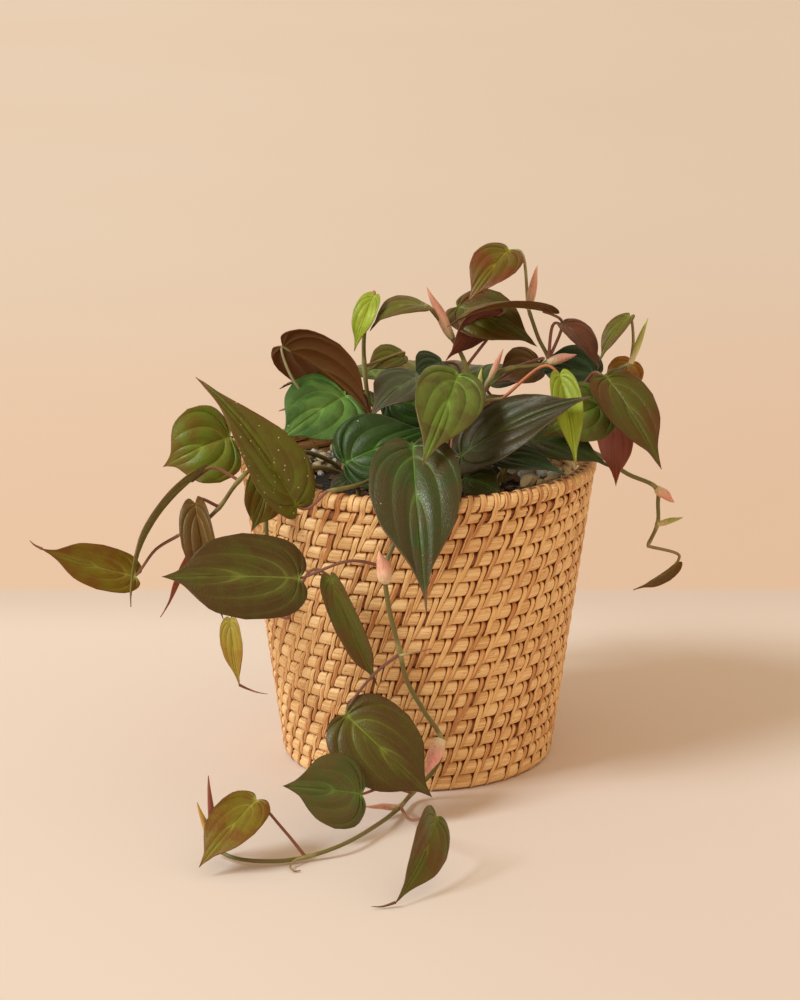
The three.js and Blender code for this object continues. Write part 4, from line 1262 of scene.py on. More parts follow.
# Leafy stems. Each rises from its root, [x, y] on the soil, through the points of its stem.
PINK, ROSE, BLUSH = (230, 162, 136), (250, 172, 160), (240, 176, 148)
MAUVE, STRAW, LIME = (136, 66, 50), (196, 158, 70), (172, 180, 84)
VINES = {
    "vine_front": {
        "root": [0, -42],
        "stem": [
            [-2, -60, 163], [-7, -84, 161], [-10, -91.5, 155.5], [-11, -92.5, 139],
            [-16, -96, 125],
            [-15, -96, 108], [-9, -91, 80], [-6, -89, 66], [2, -87, 50], [11, -85, 34],
            [9, -82, 19], [-3, -82, 5], [-9, -97, 3.5], [-21, -126, 5], [-37, -150, 5],
            [-53, -158, 2.5], [-68, -163, 2.5], [-85, -162, 3.5], [-96, -154, 5],
        ],
        "leaves": [
            [0, [-3, -68, 177], [3, -113, 112], [0, -0.86, 0.5], 46, 8.5, 14, 3, "slate",
             None, [[3.2, -115.8, 110], [3.5, -115.7, 108.2]]],
            [4, [-57, -105, 122], [-121, -118, 126], [-0.05, -0.85, 0.5], 42, 6, 8, 3, "bronze",
             [-33, -103, 130]],
            [6, [-35, -102, 52.5], [6, -110, 13.5], [-0.1, -0.8, 0.6], 42, 5, 10, 2, "umber",
             [-23, -97, 70]],
            [11, [-28, -124, 20.5], [-65, -141, 31], [0.05, -0.85, 0.5], 37, 3, 8, 2, "pine",
             [-16, -103, 16]],
            [12, [7, -170, 27], [-12, -211, 2], [0.6, -0.7, 0.3], 24, 4, 18, 1, "khaki",
             [-4, -133, 11], [[-17, -212, 1.2], [-22, -213, 1.6]]],
            [15, [-76, -152, 28], [-101, -176, 4], [-0.3, -0.75, 0.6], 26, 3, 16, 2, "gold",
             [-63, -156, 15]],
        ],
        "sheaths": [
            [[-15.5, -97, 118], [-19, -101, 134], 3.7, BLUSH], [9, [4, -93, 19], 3.8, ROSE],
            [12, [-26, -112, 9], 1.6, PINK], [18, [-103, -163, 31], 1.7, STRAW],
            [18, [-98, -160, 43], 1.6, MAUVE],
        ],
        "rootlets": [
            [[-53, -158, 2.8], [-57, -162, 3], [-60, -167, 1.8], [-58, -171, 1], [-55, -170, 0.8]],
            [[-9, -92, 79.5], [-6, -95, 81], [-1, -95, 82], [6, -94.5, 83.5]],
        ],
    },
    "vine_left_front": {
        "root": [-30, -30],
        "stem": [
            [-46, -48, 161], [-61, -60, 161], [-72, -67, 152], [-74, -65, 127],
            [-75, -62, 104], [-64, -70, 91],
        ],
        "leaves": [
            [5, [-42, -93, 118], [-19, -87, 64], [-0.5, -0.8, 0.25], 17, 3, 22, 3, "sedge"],
            [5, [-92, -64, 88], [-87, -67, 56], [-0.35, -0.9, 0.2], 13, 3, 24, 3, "honey", None,
             [[-84, -68, 54], [-79, -69, 52.5], [-74, -70, 52]]],
            [1, [-70, -60, 167], [-81, -78, 137], [0.3, -0.9, 0.25], 22, 2, 10, 2, "sedge"],
        ],
        "sheaths": [],
    },
    "vine_left": {
        "root": [-34, -10],
        "stem": [
            [-54, -22, 162], [-76, -36, 162], [-88, -45, 154], [-97, -58, 144],
            [-105, -61, 137], [-117, -63, 131],
        ],
        "leaves": [
            [1, [-94, -18, 169], [-125, -31, 159], [-0.1, -0.95, 0.3], 41, 4, 10, -9, "fresh"],
            [2, [-107, -44, 157], [-143, -84, 104], [-0.86, 0.05, 0.5], 22, 7, 24, -5, "turned"],
            [5, [-139, -62, 110], [-183, -78, 128], [0, -0.8, 0.6], 24, 0, 14, 3, "gold",
             [-128, -63, 124], [[-185, -79, 131], [-187, -80, 133.5]]],
            [3, [-108, -64, 147], [-94, -80, 94], [-0.3, -0.9, 0.25], 22, 4, 36, 2, "brick"],
            [4, [-107, -52, 124], [-123, -56, 85], [-0.5, 0.3, 0.6], 10, 2, 30, 5, "pink"],
        ],
        "sheaths": [],
    },
    "vine_rim_left": {
        "root": [-19, -38],
        "stem": [[-20, -60, 159.5], [-29, -78, 160.5], [-44, -84, 159]],
        "leaves": [
            [2, [-59, -83, 152], [-104, -76, 214], [0.35, -0.75, 0.5], 36, 7, 26, -5, "moss"],
            [0, [-36, -58, 166], [6, -46, 180], [0, -0.8, 0.6], 40, 4, 8, 1, "wet"],
            [0, [-34, -58, 158], [-44, -63, 151], [-0.2, -0.7, 0.6], 11, 1, 10, 1, "ash"],
        ],
        "sheaths": [],
    },
    "vine_mid_left": {
        "root": [-22, 2],
        "stem": [[-24, 3, 172], [-27, 5, 200], [-27, 4, 217], [-23, 2, 237]],
        "leaves": [
            [0, [-36, -23, 191], [-68, -48, 174], [-0.1, -0.8, 0.6], 43, 4, 10, 2, "bright"],
            [0, [-67, -22, 216], [-24, -33, 181], [0.3, 0.8, 0.35], 38, 6, 12, 3, "rust",
             [-59, -30, 197]],
            [3, [-22, -1, 237], [-31, -6, 210], [-0.5, -0.85, 0.1], 14, 3, 24, 2, "lime",
             [-22, 1, 239]],
            [1, [-8, 18, 203], [-27, 10, 195], [0.1, -0.5, 0.85], 18, 3, 16, 1, "olive"],
            [0, [-16, 14, 180], [20, 18, 176], [0, -0.9, 0.4], 30, 3, 8, 1, "wet"],
        ],
        "sheaths": [],
    },
    "vine_top_left": {
        "root": [20, 6],
        "stem": [[24, 6, 176], [24, 4, 200], [17, 4, 215], [11, 2, 224], [5, 0, 232]],
        "leaves": [
            [4, [3, 0, 232], [-24, -8, 221], [0, -0.2, 1], 22, 6, 10, 0, "olive"],
            [1, [20, 16, 228], [59, 3, 209], [0.1, -0.65, 0.75], 33, 6, 10, 3, "dusk"],
            [1, [42, 8, 227], [15, -7, 205], [-0.35, 0.75, 0.3], 22, 3, 16, 2, "maroon"],
            [0, [0, -14, 199], [-23, -34, 183], [-0.3, -0.6, 0.75], 30, 3, 12, 1, "ash"],
            [0, [12, 16, 200], [-2, 8, 193], [-0.2, -0.6, 0.8], 22, 2, 12, 1, "teal"],
        ],
        "sheaths": [[2, [4, 0, 241], 2.6, PINK]],
    },
    "vine_top": {
        "root": [30, -10],
        "stem": [
            [31, -8, 180], [36, -5, 196], [46, -4, 201], [56, -4, 202], [65, -2, 204],
            [60, 0, 216], [55, 2, 230],
        ],
        "leaves": [
            [6, [45, 4, 259], [25, -14, 236], [-0.35, -0.8, 0.5], 26, 4, 12, 2, "copper"],
            [4, [66, -3, 229], [14, -13, 226], [0, 0.2, 1], 27, 5, 20, -2, "sedge"],
            [4, [72, -7, 224], [88, -15, 202], [0.3, -0.4, 0.85], 20, 4, 22, 3, "maroon"],
            [2, [61, 18, 199], [39, 12, 189], [-0.1, -0.75, 0.65], 24, 4, 16, 1, "brick"],
        ],
        "sheaths": [
            [6, [59, 2, 252], 2.2, PINK], [4, [79, -4, 208], 2.4, PINK],
            [1, [42, -10, 212], 1.5, PINK],
        ],
    },
    "vine_centre": {
        "root": [8, -28],
        "stem": [[12, -30, 162], [17, -32, 176]],
        "leaves": [
            [1, [19, -40, 205], [1, -87, 171], [0.2, -0.7, 0.7], 36, 5, 16, 2, "spring"],
            [1, [21, -44, 166], [84, -57, 198], [-0.2, -0.65, 0.75], 36, 5, 14, 2, "char"],
            [0, [24, -50, 157], [41, -64, 151], [0, -0.7, 0.7], 20, 2, 10, 1, "deep"],
        ],
        "sheaths": [],
    },
    "vine_centre_right": {
        "root": [24, -24],
        "stem": [[24, -26, 172], [28, -28, 188], [41, -32, 192]],
        "leaves": [
            [2, [69, -38, 205], [76, -57, 163], [0.1, -0.9, 0.2], 18, 3, 34, 3, "lime"],
        ],
        "sheaths": [[1, [31, -26, 206], 1.8, LIME]],
        "rootlets": [[[24, -26, 172], [21, -37, 177], [23, -42, 188], [29, -39, 191.5],
                      [36, -34, 191.5], [41, -32, 192]]],
    },
    "vine_right_top": {
        "root": [44, 4],
        "stem": [[60, 2, 170], [80, -3, 188], [97, -4, 199], [106, -6, 204]],
        "leaves": [
            [3, [105, -8, 228], [91, -18, 206], [-0.4, -0.4, 0.8], 14, 3, 24, 3, "olive",
             [107, -7, 216]],
            [3, [107, 2, 203], [97, 0, 184], [0.1, -0.85, 0.5], 19, 2, 14, 1, "amber"],
            [1, [93, -16, 199], [118, -44, 158], [0.3, -0.7, 0.7], 32, 4, 14, 3, "dusk"],
            [1, [97, -12, 178], [98, -22, 145], [0.3, 0.85, 0.3], 20, 3, 14, 2, "pink"],
            [0, [92, -22, 187], [60, -36, 173], [0, -0.85, 0.5], 33, 2, 10, 1, "spring"],
            [1, [90, 0, 196], [57, 6, 199], [0.1, -0.72, 0.68], 30, 3, 12, 1, "teal"],
        ],
        "sheaths": [[3, [114, -6, 227], 1.6, LIME]],
    },
    "vine_right": {
        "root": [40, -14],
        "stem": [
            [56, -10, 162], [76, -6, 162.5], [91, -2, 156], [106, -2, 146], [121, 0, 138],
            [122, 0, 129], [122, 0, 119], [117, -2, 108],
        ],
        "leaves": [
            [7, [133, 2, 98], [109, -8, 89], [0.3, 0.2, -0.9], 11, 3, 30, 3, "olive"],
        ],
        "sheaths": [[4, [130, -2, 131], 2.6, PINK], [6, [134, -6, 124], 1.5, LIME]],
    },
    "vine_low_right": {
        "root": [38, -34],
        "stem": [[42, -36, 158]],
        "leaves": [
            [0, [55, -28, 170], [94, -38, 158], [0.2, -0.45, 0.85], 28, 4, 14, 1, "deep"],
            [0, [37, -47, 166], [71, -60, 160], [0, -0.4, 0.9], 20, 3, 14, 1, "teal"],
        ],
        "sheaths": [],
    },
}

# Leafy stems on the far side, as [direction in degrees, trails], with their leaves' finishes.
FAR_SIDE = [[28, False], [56, False], [84, True], [112, True], [146, False]]
FAR_FINISHES = ["green", "bronze", "deep", "slate", "olive"]


def far_stem(number, direction, trails, draw):
    """The same leafy stem as the CAD grows in this sector."""
    a = math.radians(direction)

    def at(r, z, swing=0.0):
        b = a + swing
        return [r * math.cos(b), r * math.sin(b), z]

    stem = [at(42, 162), at(54, 172)]
    if trails:
        stem += [at(74, 172), at(92, 164), at(100, 146), at(100, 118)]
    leaves = [
        [0, at(60, 166, -0.2), at(104, 158 + 4 * draw(), -0.2), at(0.45, 0.9), 32, 4, 12, 2],
        [1, at(44, 186, 0.1), at(78, 180 + 4 * draw(), 0.16), at(0.3, 0.95), 30, 5, 12, 2],
        [0, at(33, 176, -0.2), at(50, 180 + 2 * draw(), -0.14), at(0.2, 0.98), 15, 2, 12, 1],
    ]
    if trails:
        leaves.append([4, at(108, 148, 0.1), at(126, 112, 0.16), at(0.9, 0.4), 32, 4, 14, 3])
        leaves.append([5, at(106, 104, -0.06), at(112, 64, -0.1), at(0.95, 0.2), 26, 4, 16, 3])
    for k, leaf in enumerate(leaves):
        leaf.append(FAR_FINISHES[(number + 2 * k) % len(FAR_FINISHES)])
    return {"root": at(30, 0)[:2], "stem": stem, "leaves": leaves, "sheaths": []}


def all_vines():
    """Every leafy stem, with its leaves and sheaths as named values."""
    state = [29]

    def draw():
        """The same random numbers from 0 to 1 as the CAD draws."""
        state[0] = state[0] * 16807 % 2147483647
        return state[0] / 2147483647

    vines = dict(VINES)
    for k, (direction, trails) in enumerate(FAR_SIDE):
        vines[f"vine_back_{k + 1}"] = far_stem(k, direction, trails, draw)
    return {
        name: {"rootlets": [], **vine, "leaves": [Leaf(*row) for row in vine["leaves"]],
               "sheaths": [Sheath(*row) for row in vine["sheaths"]]}
        for name, vine in vines.items()
    }


# A blade's ribs, from the notch at its base to its tip. Each row is a share of the way round
# the margin; the rib's start along the midrib; the point that it bends by; and its end on the
# margin. Along is in leaf lengths and out in half widths. Veins run at every fifth of the way.
RIBS = [
    [0.00, 0.000, -0.006, 0.012, -0.010, 0.024],
    [0.10, 0.000, -0.036, 0.120, -0.062, 0.280],
    [0.20, 0.000, -0.034, 0.360, -0.020, 0.620],
    [0.30, 0.002, 0.000, 0.640, 0.130, 0.920],
    [0.35, 0.004, 0.020, 0.860, 0.310, 1.000],
    [0.40, 0.008, 0.045, 1.040, 0.480, 0.870],
    [0.50, 0.030, 0.100, 0.940, 0.625, 0.635],
    [0.60, 0.080, 0.180, 0.760, 0.730, 0.395],
    [0.70, 0.180, 0.290, 0.510, 0.808, 0.225],
    [0.80, 0.340, 0.440, 0.300, 0.875, 0.125],
    [0.90, 0.600, 0.690, 0.120, 0.940, 0.058],
    [1.00, 1.000, 1.000, 0.000, 1.000, 0.000],
]
# Rows of points from one side vein to the next, and columns from the midrib to the margin.
RIB_PANEL = [0.0, 0.012, 0.045, 0.08, 0.1, 0.12, 0.155, 0.188]
RIB_OUT = [0.0, 0.03, 0.09, 0.17, 0.27, 0.38, 0.5, 0.62, 0.73, 0.83, 0.91, 0.965, 1.0]
SHADE_NAMES = ("face", "patch", "vein", "edge", "under")
BLADE_WAVE = 0.016  # Height of the margin's waves, as a share of a leaf's width.
BLADE_BOW = 0.012  # How far a leaf bows to one side, as a share of its length.


class BladePattern:
    """Where each point of a blade's grid lies on a flat leaf of length 1 and half width 1."""

    def __init__(self):
        starts = [VEIN_STEP * k for k in range(round(1 / VEIN_STEP))]
        tau = np.array(sorted({round(start + p, 4) for start in starts for p in RIB_PANEL} | {1.0}))
        t = np.array([-q for q in RIB_OUT[:0:-1]] + RIB_OUT)
        start, bend_a, bend_b, end_a, end_b = eased(RIBS, tau).T[:, :, None]
        u = np.abs(t)[None, :]
        along = (1 - u) ** 2 * start + 2 * u * (1 - u) * bend_a + u**2 * end_a
        out = (2 * u * (1 - u) * bend_b + u**2 * end_b) * np.sign(t)[None, :]
        deselect()
        bpy.ops.mesh.primitive_grid_add(
            x_subdivisions=len(t) - 1, y_subdivisions=len(tau) - 1, size=2
        )
        grid = bpy.context.object
        x, y, _ = points_of(grid.data).T
        column = np.round((x + 1) / 2 * (len(t) - 1)).astype(int)
        row = np.round((y + 1) / 2 * (len(tau) - 1)).astype(int)
        self.t, self.tau = t[column], tau[row]
        self.along, self.out = along[row, column], out[row, column]
        self.mesh = grid.data
        clear_maps(self.mesh)
        bpy.data.objects.remove(grid)

    def leaf(self, name, leaf, draw, quilting):
        """One blade: the grid mapped on the leaf's own arch, fold, curl and quilting."""
        size, d, up = leaf_axes(leaf)
        side = np.cross(d, up)
        b, t, tau = self.out, self.t, self.tau
        fuller = FULLNESS.get(leaf.finish, 0.0)
        a = self.along + fuller * np.sin(math.pi * self.along.clip(0, 1)) ** 2
        ahead = a.clip(0)
        arc = 4 * ahead * (1 - ahead)
        half = leaf.width / 2
        lean = math.radians(leaf.fold)
        rise = leaf.arch * (arc + 4 * a.clip(max=0)) + leaf.curl * ahead**4
        rise += np.abs(b) * half * (math.sin(lean) - 0.12 * np.abs(b))
        # Between veins the skin bulges; the bulge dies out at the midrib, margin and tip.
        panel = (tau / VEIN_STEP) % 1
        bulge = np.sin(math.pi * panel) ** 0.8 * np.sin(math.pi * np.abs(t) ** 0.7) ** 0.7
        bulge *= QUILTS.get(leaf.finish, 1.0) * (1 - ahead**3)
        rise += quilting * leaf.width * bulge
        # The margin waves, each side in its own way, and the blade bows to one side.
        phase = draw.uniform(0, TURN, 4)
        wave = np.sin(TURN * 1.7 * tau + phase[0] + (t > 0) * 2.1)
        wave += 0.6 * np.sin(TURN * 3.4 * tau + phase[1] + (t > 0) * 1.3)
        rise += BLADE_WAVE * leaf.width * wave * np.abs(t) ** 3 * (1 - tau**4)
        bow = BLADE_BOW * size * math.sin(phase[2]) * arc
        across = b * half * math.cos(lean) + bow
        at = leaf.base + np.outer(a * size, d) + np.outer(across, side) + np.outer(rise, up)
        obj = linked(name, self.mesh.copy())
        mesh = obj.data
        place_points(mesh, at)
        corner = corners_of(mesh)
        write_uv(mesh, "ribs", np.stack([tau, 0.5 + t / 2], 1)[corner])
        write_uv(mesh, "blade", np.stack([a, 0.5 + b * half * MM / BLADE_SPAN], 1)[corner])
        shift = draw.uniform(0.92, 1.08)
        for key, shade in zip(SHADE_NAMES, FINISHES[leaf.finish]):
            store_same(mesh, key, np.array(to_linear(shade)) * shift)
        store_same(mesh, "specks", SPECKS.get(leaf.finish, 0.0))
        return obj


def leaf_material(name, under, settings):
    """The velvety face of a leaf, or its smoother underside."""
    m, g, s, bump = new_material(name)
    face = g.attribute("under" if under else "face", "Color")
    patch, vein = g.attribute("patch", "Color"), g.attribute("vein", "Color")
    if under:
        patch, vein = g.mix(0.4, face, patch), g.mix(0.6, vein, face)
    made = use_group(g, "Leaf skin", {
        "Face": face, "Patch": patch, "Vein": vein, "Edge": g.attribute("edge", "Color"),
        "Specks": g.attribute("specks"),
    })
    g.feed(s["Base Color"], made["Color"])
    g.feed(s["Roughness"], g.plus(made["Roughness"], 0.06 if under else 0.0))
    s["Specular IOR Level"].default_value = 0.34
    s["Specular Tint"].default_value = (1.0, 0.93, 0.76, 1)
    s["Sheen Weight"].default_value = settings.velvet * (0.4 if under else 1)
    s["Sheen Roughness"].default_value = 0.4
    s["Sheen Tint"].default_value = (0.8, 0.8, 0.62, 1)
    # The relief of the face shows the other way round on the underside.
    relief = g.times(made["Height"], -1.0 if under else 1.0)
    bump(g.plus(relief, g.times(made["Grain"], 0.07)), 0.00035, 0.8)
    return m


def make_leaves(settings):
    pattern = BladePattern()
    face = leaf_material("Velvet leaf face", False, settings)
    under = leaf_material("Velvet leaf underside", True, settings)
    draw = np.random.default_rng(41)
    for name, vine in all_vines().items():
        blades = [pattern.leaf(f"{name}_leaf_{k}", leaf, draw, settings.quilting)
                  for k, leaf in enumerate(vine["leaves"])]
        piece = joined(blades, name.replace("vine", "leaves"))
        finish_piece(piece, name, "leaf", face, under)
        apply_modifier(piece, "SOLIDIFY", thickness=settings.thickness, offset=0,
                       material_offset=1)
        smooth(piece)


def tubes(name, runs, sides=8):
    """Round stalks along runs of points, in one mesh. A run is (points, radii, colours)."""
    curve = bpy.data.curves.new(name, "CURVE")
    curve.dimensions = "3D"
    curve.bevel_depth = 1.0
    curve.bevel_resolution = (sides - 4) // 2
    for points, radii, _ in runs:
        spline = curve.splines.new("POLY")
        spline.points.add(len(points) - 1)
        flat = np.ones((len(points), 4))
        flat[:, :3] = points * MM
        spline.points.foreach_set("co", flat.ravel())
        spline.points.foreach_set("radius", np.asarray(radii) * MM)
    select_only(linked(name, curve))
    bpy.ops.object.convert(target="MESH")
    obj = bpy.context.object
    shade = np.vstack([colours for _, _, colours in runs])
    around = len(obj.data.vertices) // len(shade)
    if around * len(shade) != len(obj.data.vertices):
        raise RuntimeError(f"{name}: {len(obj.data.vertices)} points for {len(shade)} rings")
    store(obj.data, "shade", np.repeat(shade, around, 0))
    clear_maps(obj.data)
    bpy.ops.object.mode_set(mode="EDIT")
    bpy.ops.mesh.select_all(action="SELECT")
    bpy.ops.mesh.fill_holes(sides=0)
    bpy.ops.mesh.select_all(action="SELECT")
    bpy.ops.mesh.normals_make_consistent(inside=False)
    bpy.ops.object.mode_set(mode="OBJECT")
    return obj


SHEATH_BACK = (-0.3, -0.9, -0.2)  # Sheaths open away from this side.
SHEATH_PALE = (222, 202, 156)
# A sheath's width, and how far it rolls round each way in radians, along its length.
SHEATH_WIDTHS = [[0, 0.62], [0.12, 0.85], [0.35, 1], [0.6, 0.8], [0.82, 0.4], [0.95, 0.14], [1, 0.03]]
SHEATH_ROLL = [[0, 2.7], [0.3, 2.1], [0.7, 1.9], [1, 2.4]]
NODE_PALE = (176, 170, 104)
BURIED = (124, 141, 146)  # Heights of the points through which each stem rises in the soil.


def straight(table, at):
    """Values of a table of two columns at other values of its first one, on straight lines."""
    return np.interp(at, *zip(*table))


def blend_colours(a, b, part):
    part = np.asarray(part)[:, None]
    return np.array(a) * (1 - part) + np.array(b) * part


def leaf_axes(leaf):
    """Length of a leaf, and the directions along it and out of its face."""
    base, tip, facing = (np.array(p, float) for p in (leaf.base, leaf.tip, leaf.facing))
    size = np.linalg.norm(tip - base)
    d = (tip - base) / size
    up = facing - d * (facing @ d)
    return size, d, up / np.linalg.norm(up)


def tip_of(leaf):
    """The tip of a blade, which its curl lifts, a little inside its end."""
    size, d, up = leaf_axes(leaf)
    return np.array(leaf.base) + d * size * 0.985 + up * leaf.curl * 0.96


def stalk_of(leaf, stem_at, radius):
    """Points and radii of a petiole: out of the stem, round its elbow, under the blade's base."""
    base = np.array(leaf.base, float)
    size, d, up = leaf_axes(leaf)
    elbow = base - d * 0.3 * np.linalg.norm(base - stem_at)
    elbow = elbow + (stem_at - elbow) * 0.2
    if leaf.bend:
        elbow = np.array(leaf.bend, float)
    # It ends inside the blade, where it can't be seen.
    low, inside = radius * 0.75, 0.08
    end = base + d * size * inside + up * (4 * leaf.arch * inside * (1 - inside) - low)
    points = curve_through([stem_at, elbow, base - up * low, end], 7)
    radii = radius * (1.25 - 0.45 * np.linspace(0, 1, len(points)))
    radii[-3:] *= (0.9, 0.75, 0.45)
    return points, radii


def scale_leaf(sheath, start):
    """A papery sheath: a narrow scale rolled round its stem, open along one side."""
    size = np.linalg.norm(np.array(sheath.tip) - start)
    d = (np.array(sheath.tip) - start) / size
    aside = np.cross(d, SHEATH_BACK)
    aside /= np.linalg.norm(aside)
    front = np.cross(aside, d)
    deselect()
    bpy.ops.mesh.primitive_grid_add(x_subdivisions=10, y_subdivisions=16, size=2)
    obj = bpy.context.object
    q, s, _ = points_of(obj.data).T
    s = (s + 1) / 2
    ring, roll = sheath.radius * straight(SHEATH_WIDTHS, s), straight(SHEATH_ROLL, s)
    # It bends back towards its tip, and is a little creased.
    ahead = ring * np.cos(q * roll) - 0.04 * size * s**2 + 0.2 * sheath.radius * np.sin(s * 9)
    at = (start + np.outer(s * size, d) + np.outer(ahead, front)
          + np.outer(ring * np.sin(q * roll), aside))
    place_points(obj.data, at)
    clear_maps(obj.data)
    pale, tint = to_linear(SHEATH_PALE), to_linear(sheath.shade)
    store(obj.data, "shade", blend_colours(pale, tint, np.clip(s * 2.2 - 0.1, 0, 1)))
    store_same(obj.data, "paper", 1.0)
    apply_modifier(obj, "SOLIDIFY", thickness=0.0003, offset=0)
    return obj


def stem_material(settings):
    """Skin of the stems and stalks, and the papery sheaths with their fine folds."""
    m, g, s, bump = new_material("Stem skin")
    place = g.place()
    broad = g.noise(place, 160.0, 3.0, 0.55)
    fine = g.noise(place, 1500.0, 3.0, 0.6)
    creases = g.noise(g.stretch(place, (1600, 1600, 260)), 1.0, 2.0, 0.5)
    paper = g.attribute("paper")
    spots = g.times(g.fade(broad, 0.35, 0.7, 0.0, 0.4), g.minus(1.0, g.times(paper, 0.95)))
    colour = g.mix(spots, g.attribute("shade", "Color"), to_linear((120, 74, 50)))
    lines = g.times(g.fade(creases, 0.5, 0.62, 0.0, 0.3), paper)
    colour = g.mix(lines, colour, tuple(settings.sheath))
    colour = g.mix(g.fade(fine, 0.3, 0.7, 0.0, 0.12), colour, (1, 1, 1), "SOFT_LIGHT")
    g.feed(s["Base Color"], colour)
    g.feed(s["Roughness"], g.fade(fine, 0.3, 0.7, 0.38, 0.55))
    s["Sheen Weight"].default_value = 0.1
    bump(fine, 0.0001, 0.6)
    return m


def stem_run(vine, settings):
    """A stem, swollen and paler at each node where a leaf or a sheath leaves it."""
    steps = 6
    buried = [[*vine["root"], z] for z in BURIED]
    points = curve_through(buried + vine["stem"], steps)
    part = np.linspace(0, 1, len(points))
    radii = settings.stem_radius / MM * (1.12 - 0.32 * part)
    shade, pale = np.array(settings.stem), np.array(to_linear(NODE_PALE))
    shades = blend_colours(shade, shade * 1.1, part)
    nodes = [leaf.node for leaf in vine["leaves"]] + [sheath.start for sheath in vine["sheaths"]]
    for node in sorted({n for n in nodes if isinstance(n, int)}):
        k = (node + len(buried)) * steps
        for off, grow in ((-1, 0.12), (0, 0.32), (1, 0.12)):
            if 0 <= k + off < len(radii):
                radii[k + off] *= 1 + grow
                shades[k + off] = (shades[k + off] + pale) / 2
    radii[-1] *= 0.6
    return points, radii, shades


def stalk_runs(vine, settings):
    """The petioles, the thin tails of blades, and the rootlets."""
    petiole = np.array(settings.petiole)
    runs = []
    for leaf in vine["leaves"]:
        points, radii = stalk_of(leaf, np.array(vine["stem"][leaf.node], float),
                                 settings.petiole_radius / MM)
        own = STALKS.get(leaf.finish)
        shade = np.array(to_linear(own)) if own else petiole
        part = np.linspace(0, 1, len(points))
        runs.append((points, radii, blend_colours(shade, shade * (0.85, 1.1, 0.8), part)))
        if leaf.tail:
            tail = curve_through([tip_of(leaf)] + leaf.tail, 6)
            edge = to_linear(dict(zip(SHADE_NAMES, FINISHES[leaf.finish]))["edge"])
            runs.append((tail, np.linspace(0.75, 0.12, len(tail)), np.tile(edge, (len(tail), 1))))
    for root in vine["rootlets"]:
        points = curve_through(root, 5)
        part = np.linspace(0, 1, len(points))
        pale = to_linear(NODE_PALE)
        runs.append((points, 0.75 - 0.5 * part, blend_colours(pale, petiole, part)))
    return runs


def make_stems(settings):
    skin = stem_material(settings)
    for name, vine in all_vines().items():
        piece = tubes(name, [stem_run(vine, settings)] + stalk_runs(vine, settings))
        scales = []
        for sheath in vine["sheaths"]:
            on_stem = isinstance(sheath.start, int)
            start = vine["stem"][sheath.start] if on_stem else sheath.start
            scales.append(scale_leaf(sheath, np.array(start, float)))
        piece = joined([piece] + scales, name.replace("vine", "stems"))
        smooth(piece, 60)
        finish_piece(piece, name, "leaf", skin)


# Stage.

CAMERA_AT = (-0.0091, -1.372, 0.507)
CAMERA_DIP = 0.267
LENS, SENSOR = 100.8, 36.0
SUN_FROM, SUN_SPREAD = (-0.70, -0.36, 0.66), math.radians(21)
SUN_TINT, FILL_TINT = (0.84, 0.975, 1.03), (1.0, 0.80, 0.56)
# The backdrop's foot: painted shade darkens the floor close to it, and the wall's painted light
# changes with its height.
WALL_LINE, WALL_FADE = 0.272, 1.6
FLOOR_FAR_SHADE_TINT = (0.88, 0.85, 0.83)
WALL_LOW_LIGHT_TINT, WALL_HIGH_LIGHT_TINT = (1.0, 0.93, 0.89), (0.98, 1.02, 1.06)
RIGHT_SHADE_TINT = (0.87, 0.82, 0.79)


def tinted(colour, factors):
    return tuple(c * k for c, k in zip(colour, factors))


def stage_material(settings):
    """Floor and backdrop on one plane, each in its own colours on its side of the line, with painted
    light and shade across them.
    """
    m, g, s, _ = new_material("Studio floor")
    place = g.place()
    x, y, _ = g.split(place)
    ground = g.mix(g.fade(y, WALL_LINE - 0.09, WALL_LINE), tuple(settings.floor),
                   tinted(settings.floor, FLOOR_FAR_SHADE_TINT))
    wall = g.mix(g.fade(y, WALL_LINE, WALL_FADE), tinted(settings.wall, WALL_LOW_LIGHT_TINT),
                 tinted(settings.wall, WALL_HIGH_LIGHT_TINT))
    colour = g.mix(g.fade(y, WALL_LINE - 0.006, WALL_LINE + 0.006), ground, wall)
    # Painted shade: the right of the view is darker.
    away = g.larger(g.plus(y, 1.45), 1.0)
    right = g.fade(g.over(x, away), -0.15, 0.15)
    colour = g.mix(g.times(right, 0.5), colour, RIGHT_SHADE_TINT, "MULTIPLY")
    cloud = g.fade(g.noise(place, 1.1, 3.0, 0.5), 0.3, 0.7, 0.0, 0.04)
    g.feed(s["Base Color"], g.mix(cloud, colour, to_linear((200, 150, 110))))
    s["Roughness"].default_value = 0.9
    s["Specular IOR Level"].default_value = 0.1
    return m


def make_stage(settings):
    camera = linked("camera", bpy.data.cameras.new("camera"))
    camera.location = CAMERA_AT
    camera.rotation_euler = (math.pi / 2 - CAMERA_DIP, 0, 0)
    camera.data.lens = LENS
    camera.data.sensor_width = SENSOR
    camera.data.clip_end = 100
    bpy.context.scene.camera = camera
    deselect()
    bpy.ops.mesh.primitive_plane_add(size=40, location=(0, 0, 0))
    floor = bpy.context.object
    floor.name = "studio_floor"
    floor.data.materials.append(stage_material(settings))
    world = bpy.data.worlds.new("Studio")
    world.use_nodes = True
    background = world.node_tree.nodes["Background"].inputs
    background["Color"].default_value = (*FILL_TINT, 1)
    background["Strength"].default_value = settings.fill
    bpy.context.scene.world = world
    sun = linked("key_light", bpy.data.lights.new("key_light", "SUN"))
    sun.data.energy = settings.sun
    sun.data.angle = SUN_SPREAD
    sun.data.color = SUN_TINT
    sun.rotation_euler = Vector(SUN_FROM).to_track_quat("Z", "Y").to_euler()
    bpy.context.scene.view_settings.view_transform = "Standard"


# Add-on.


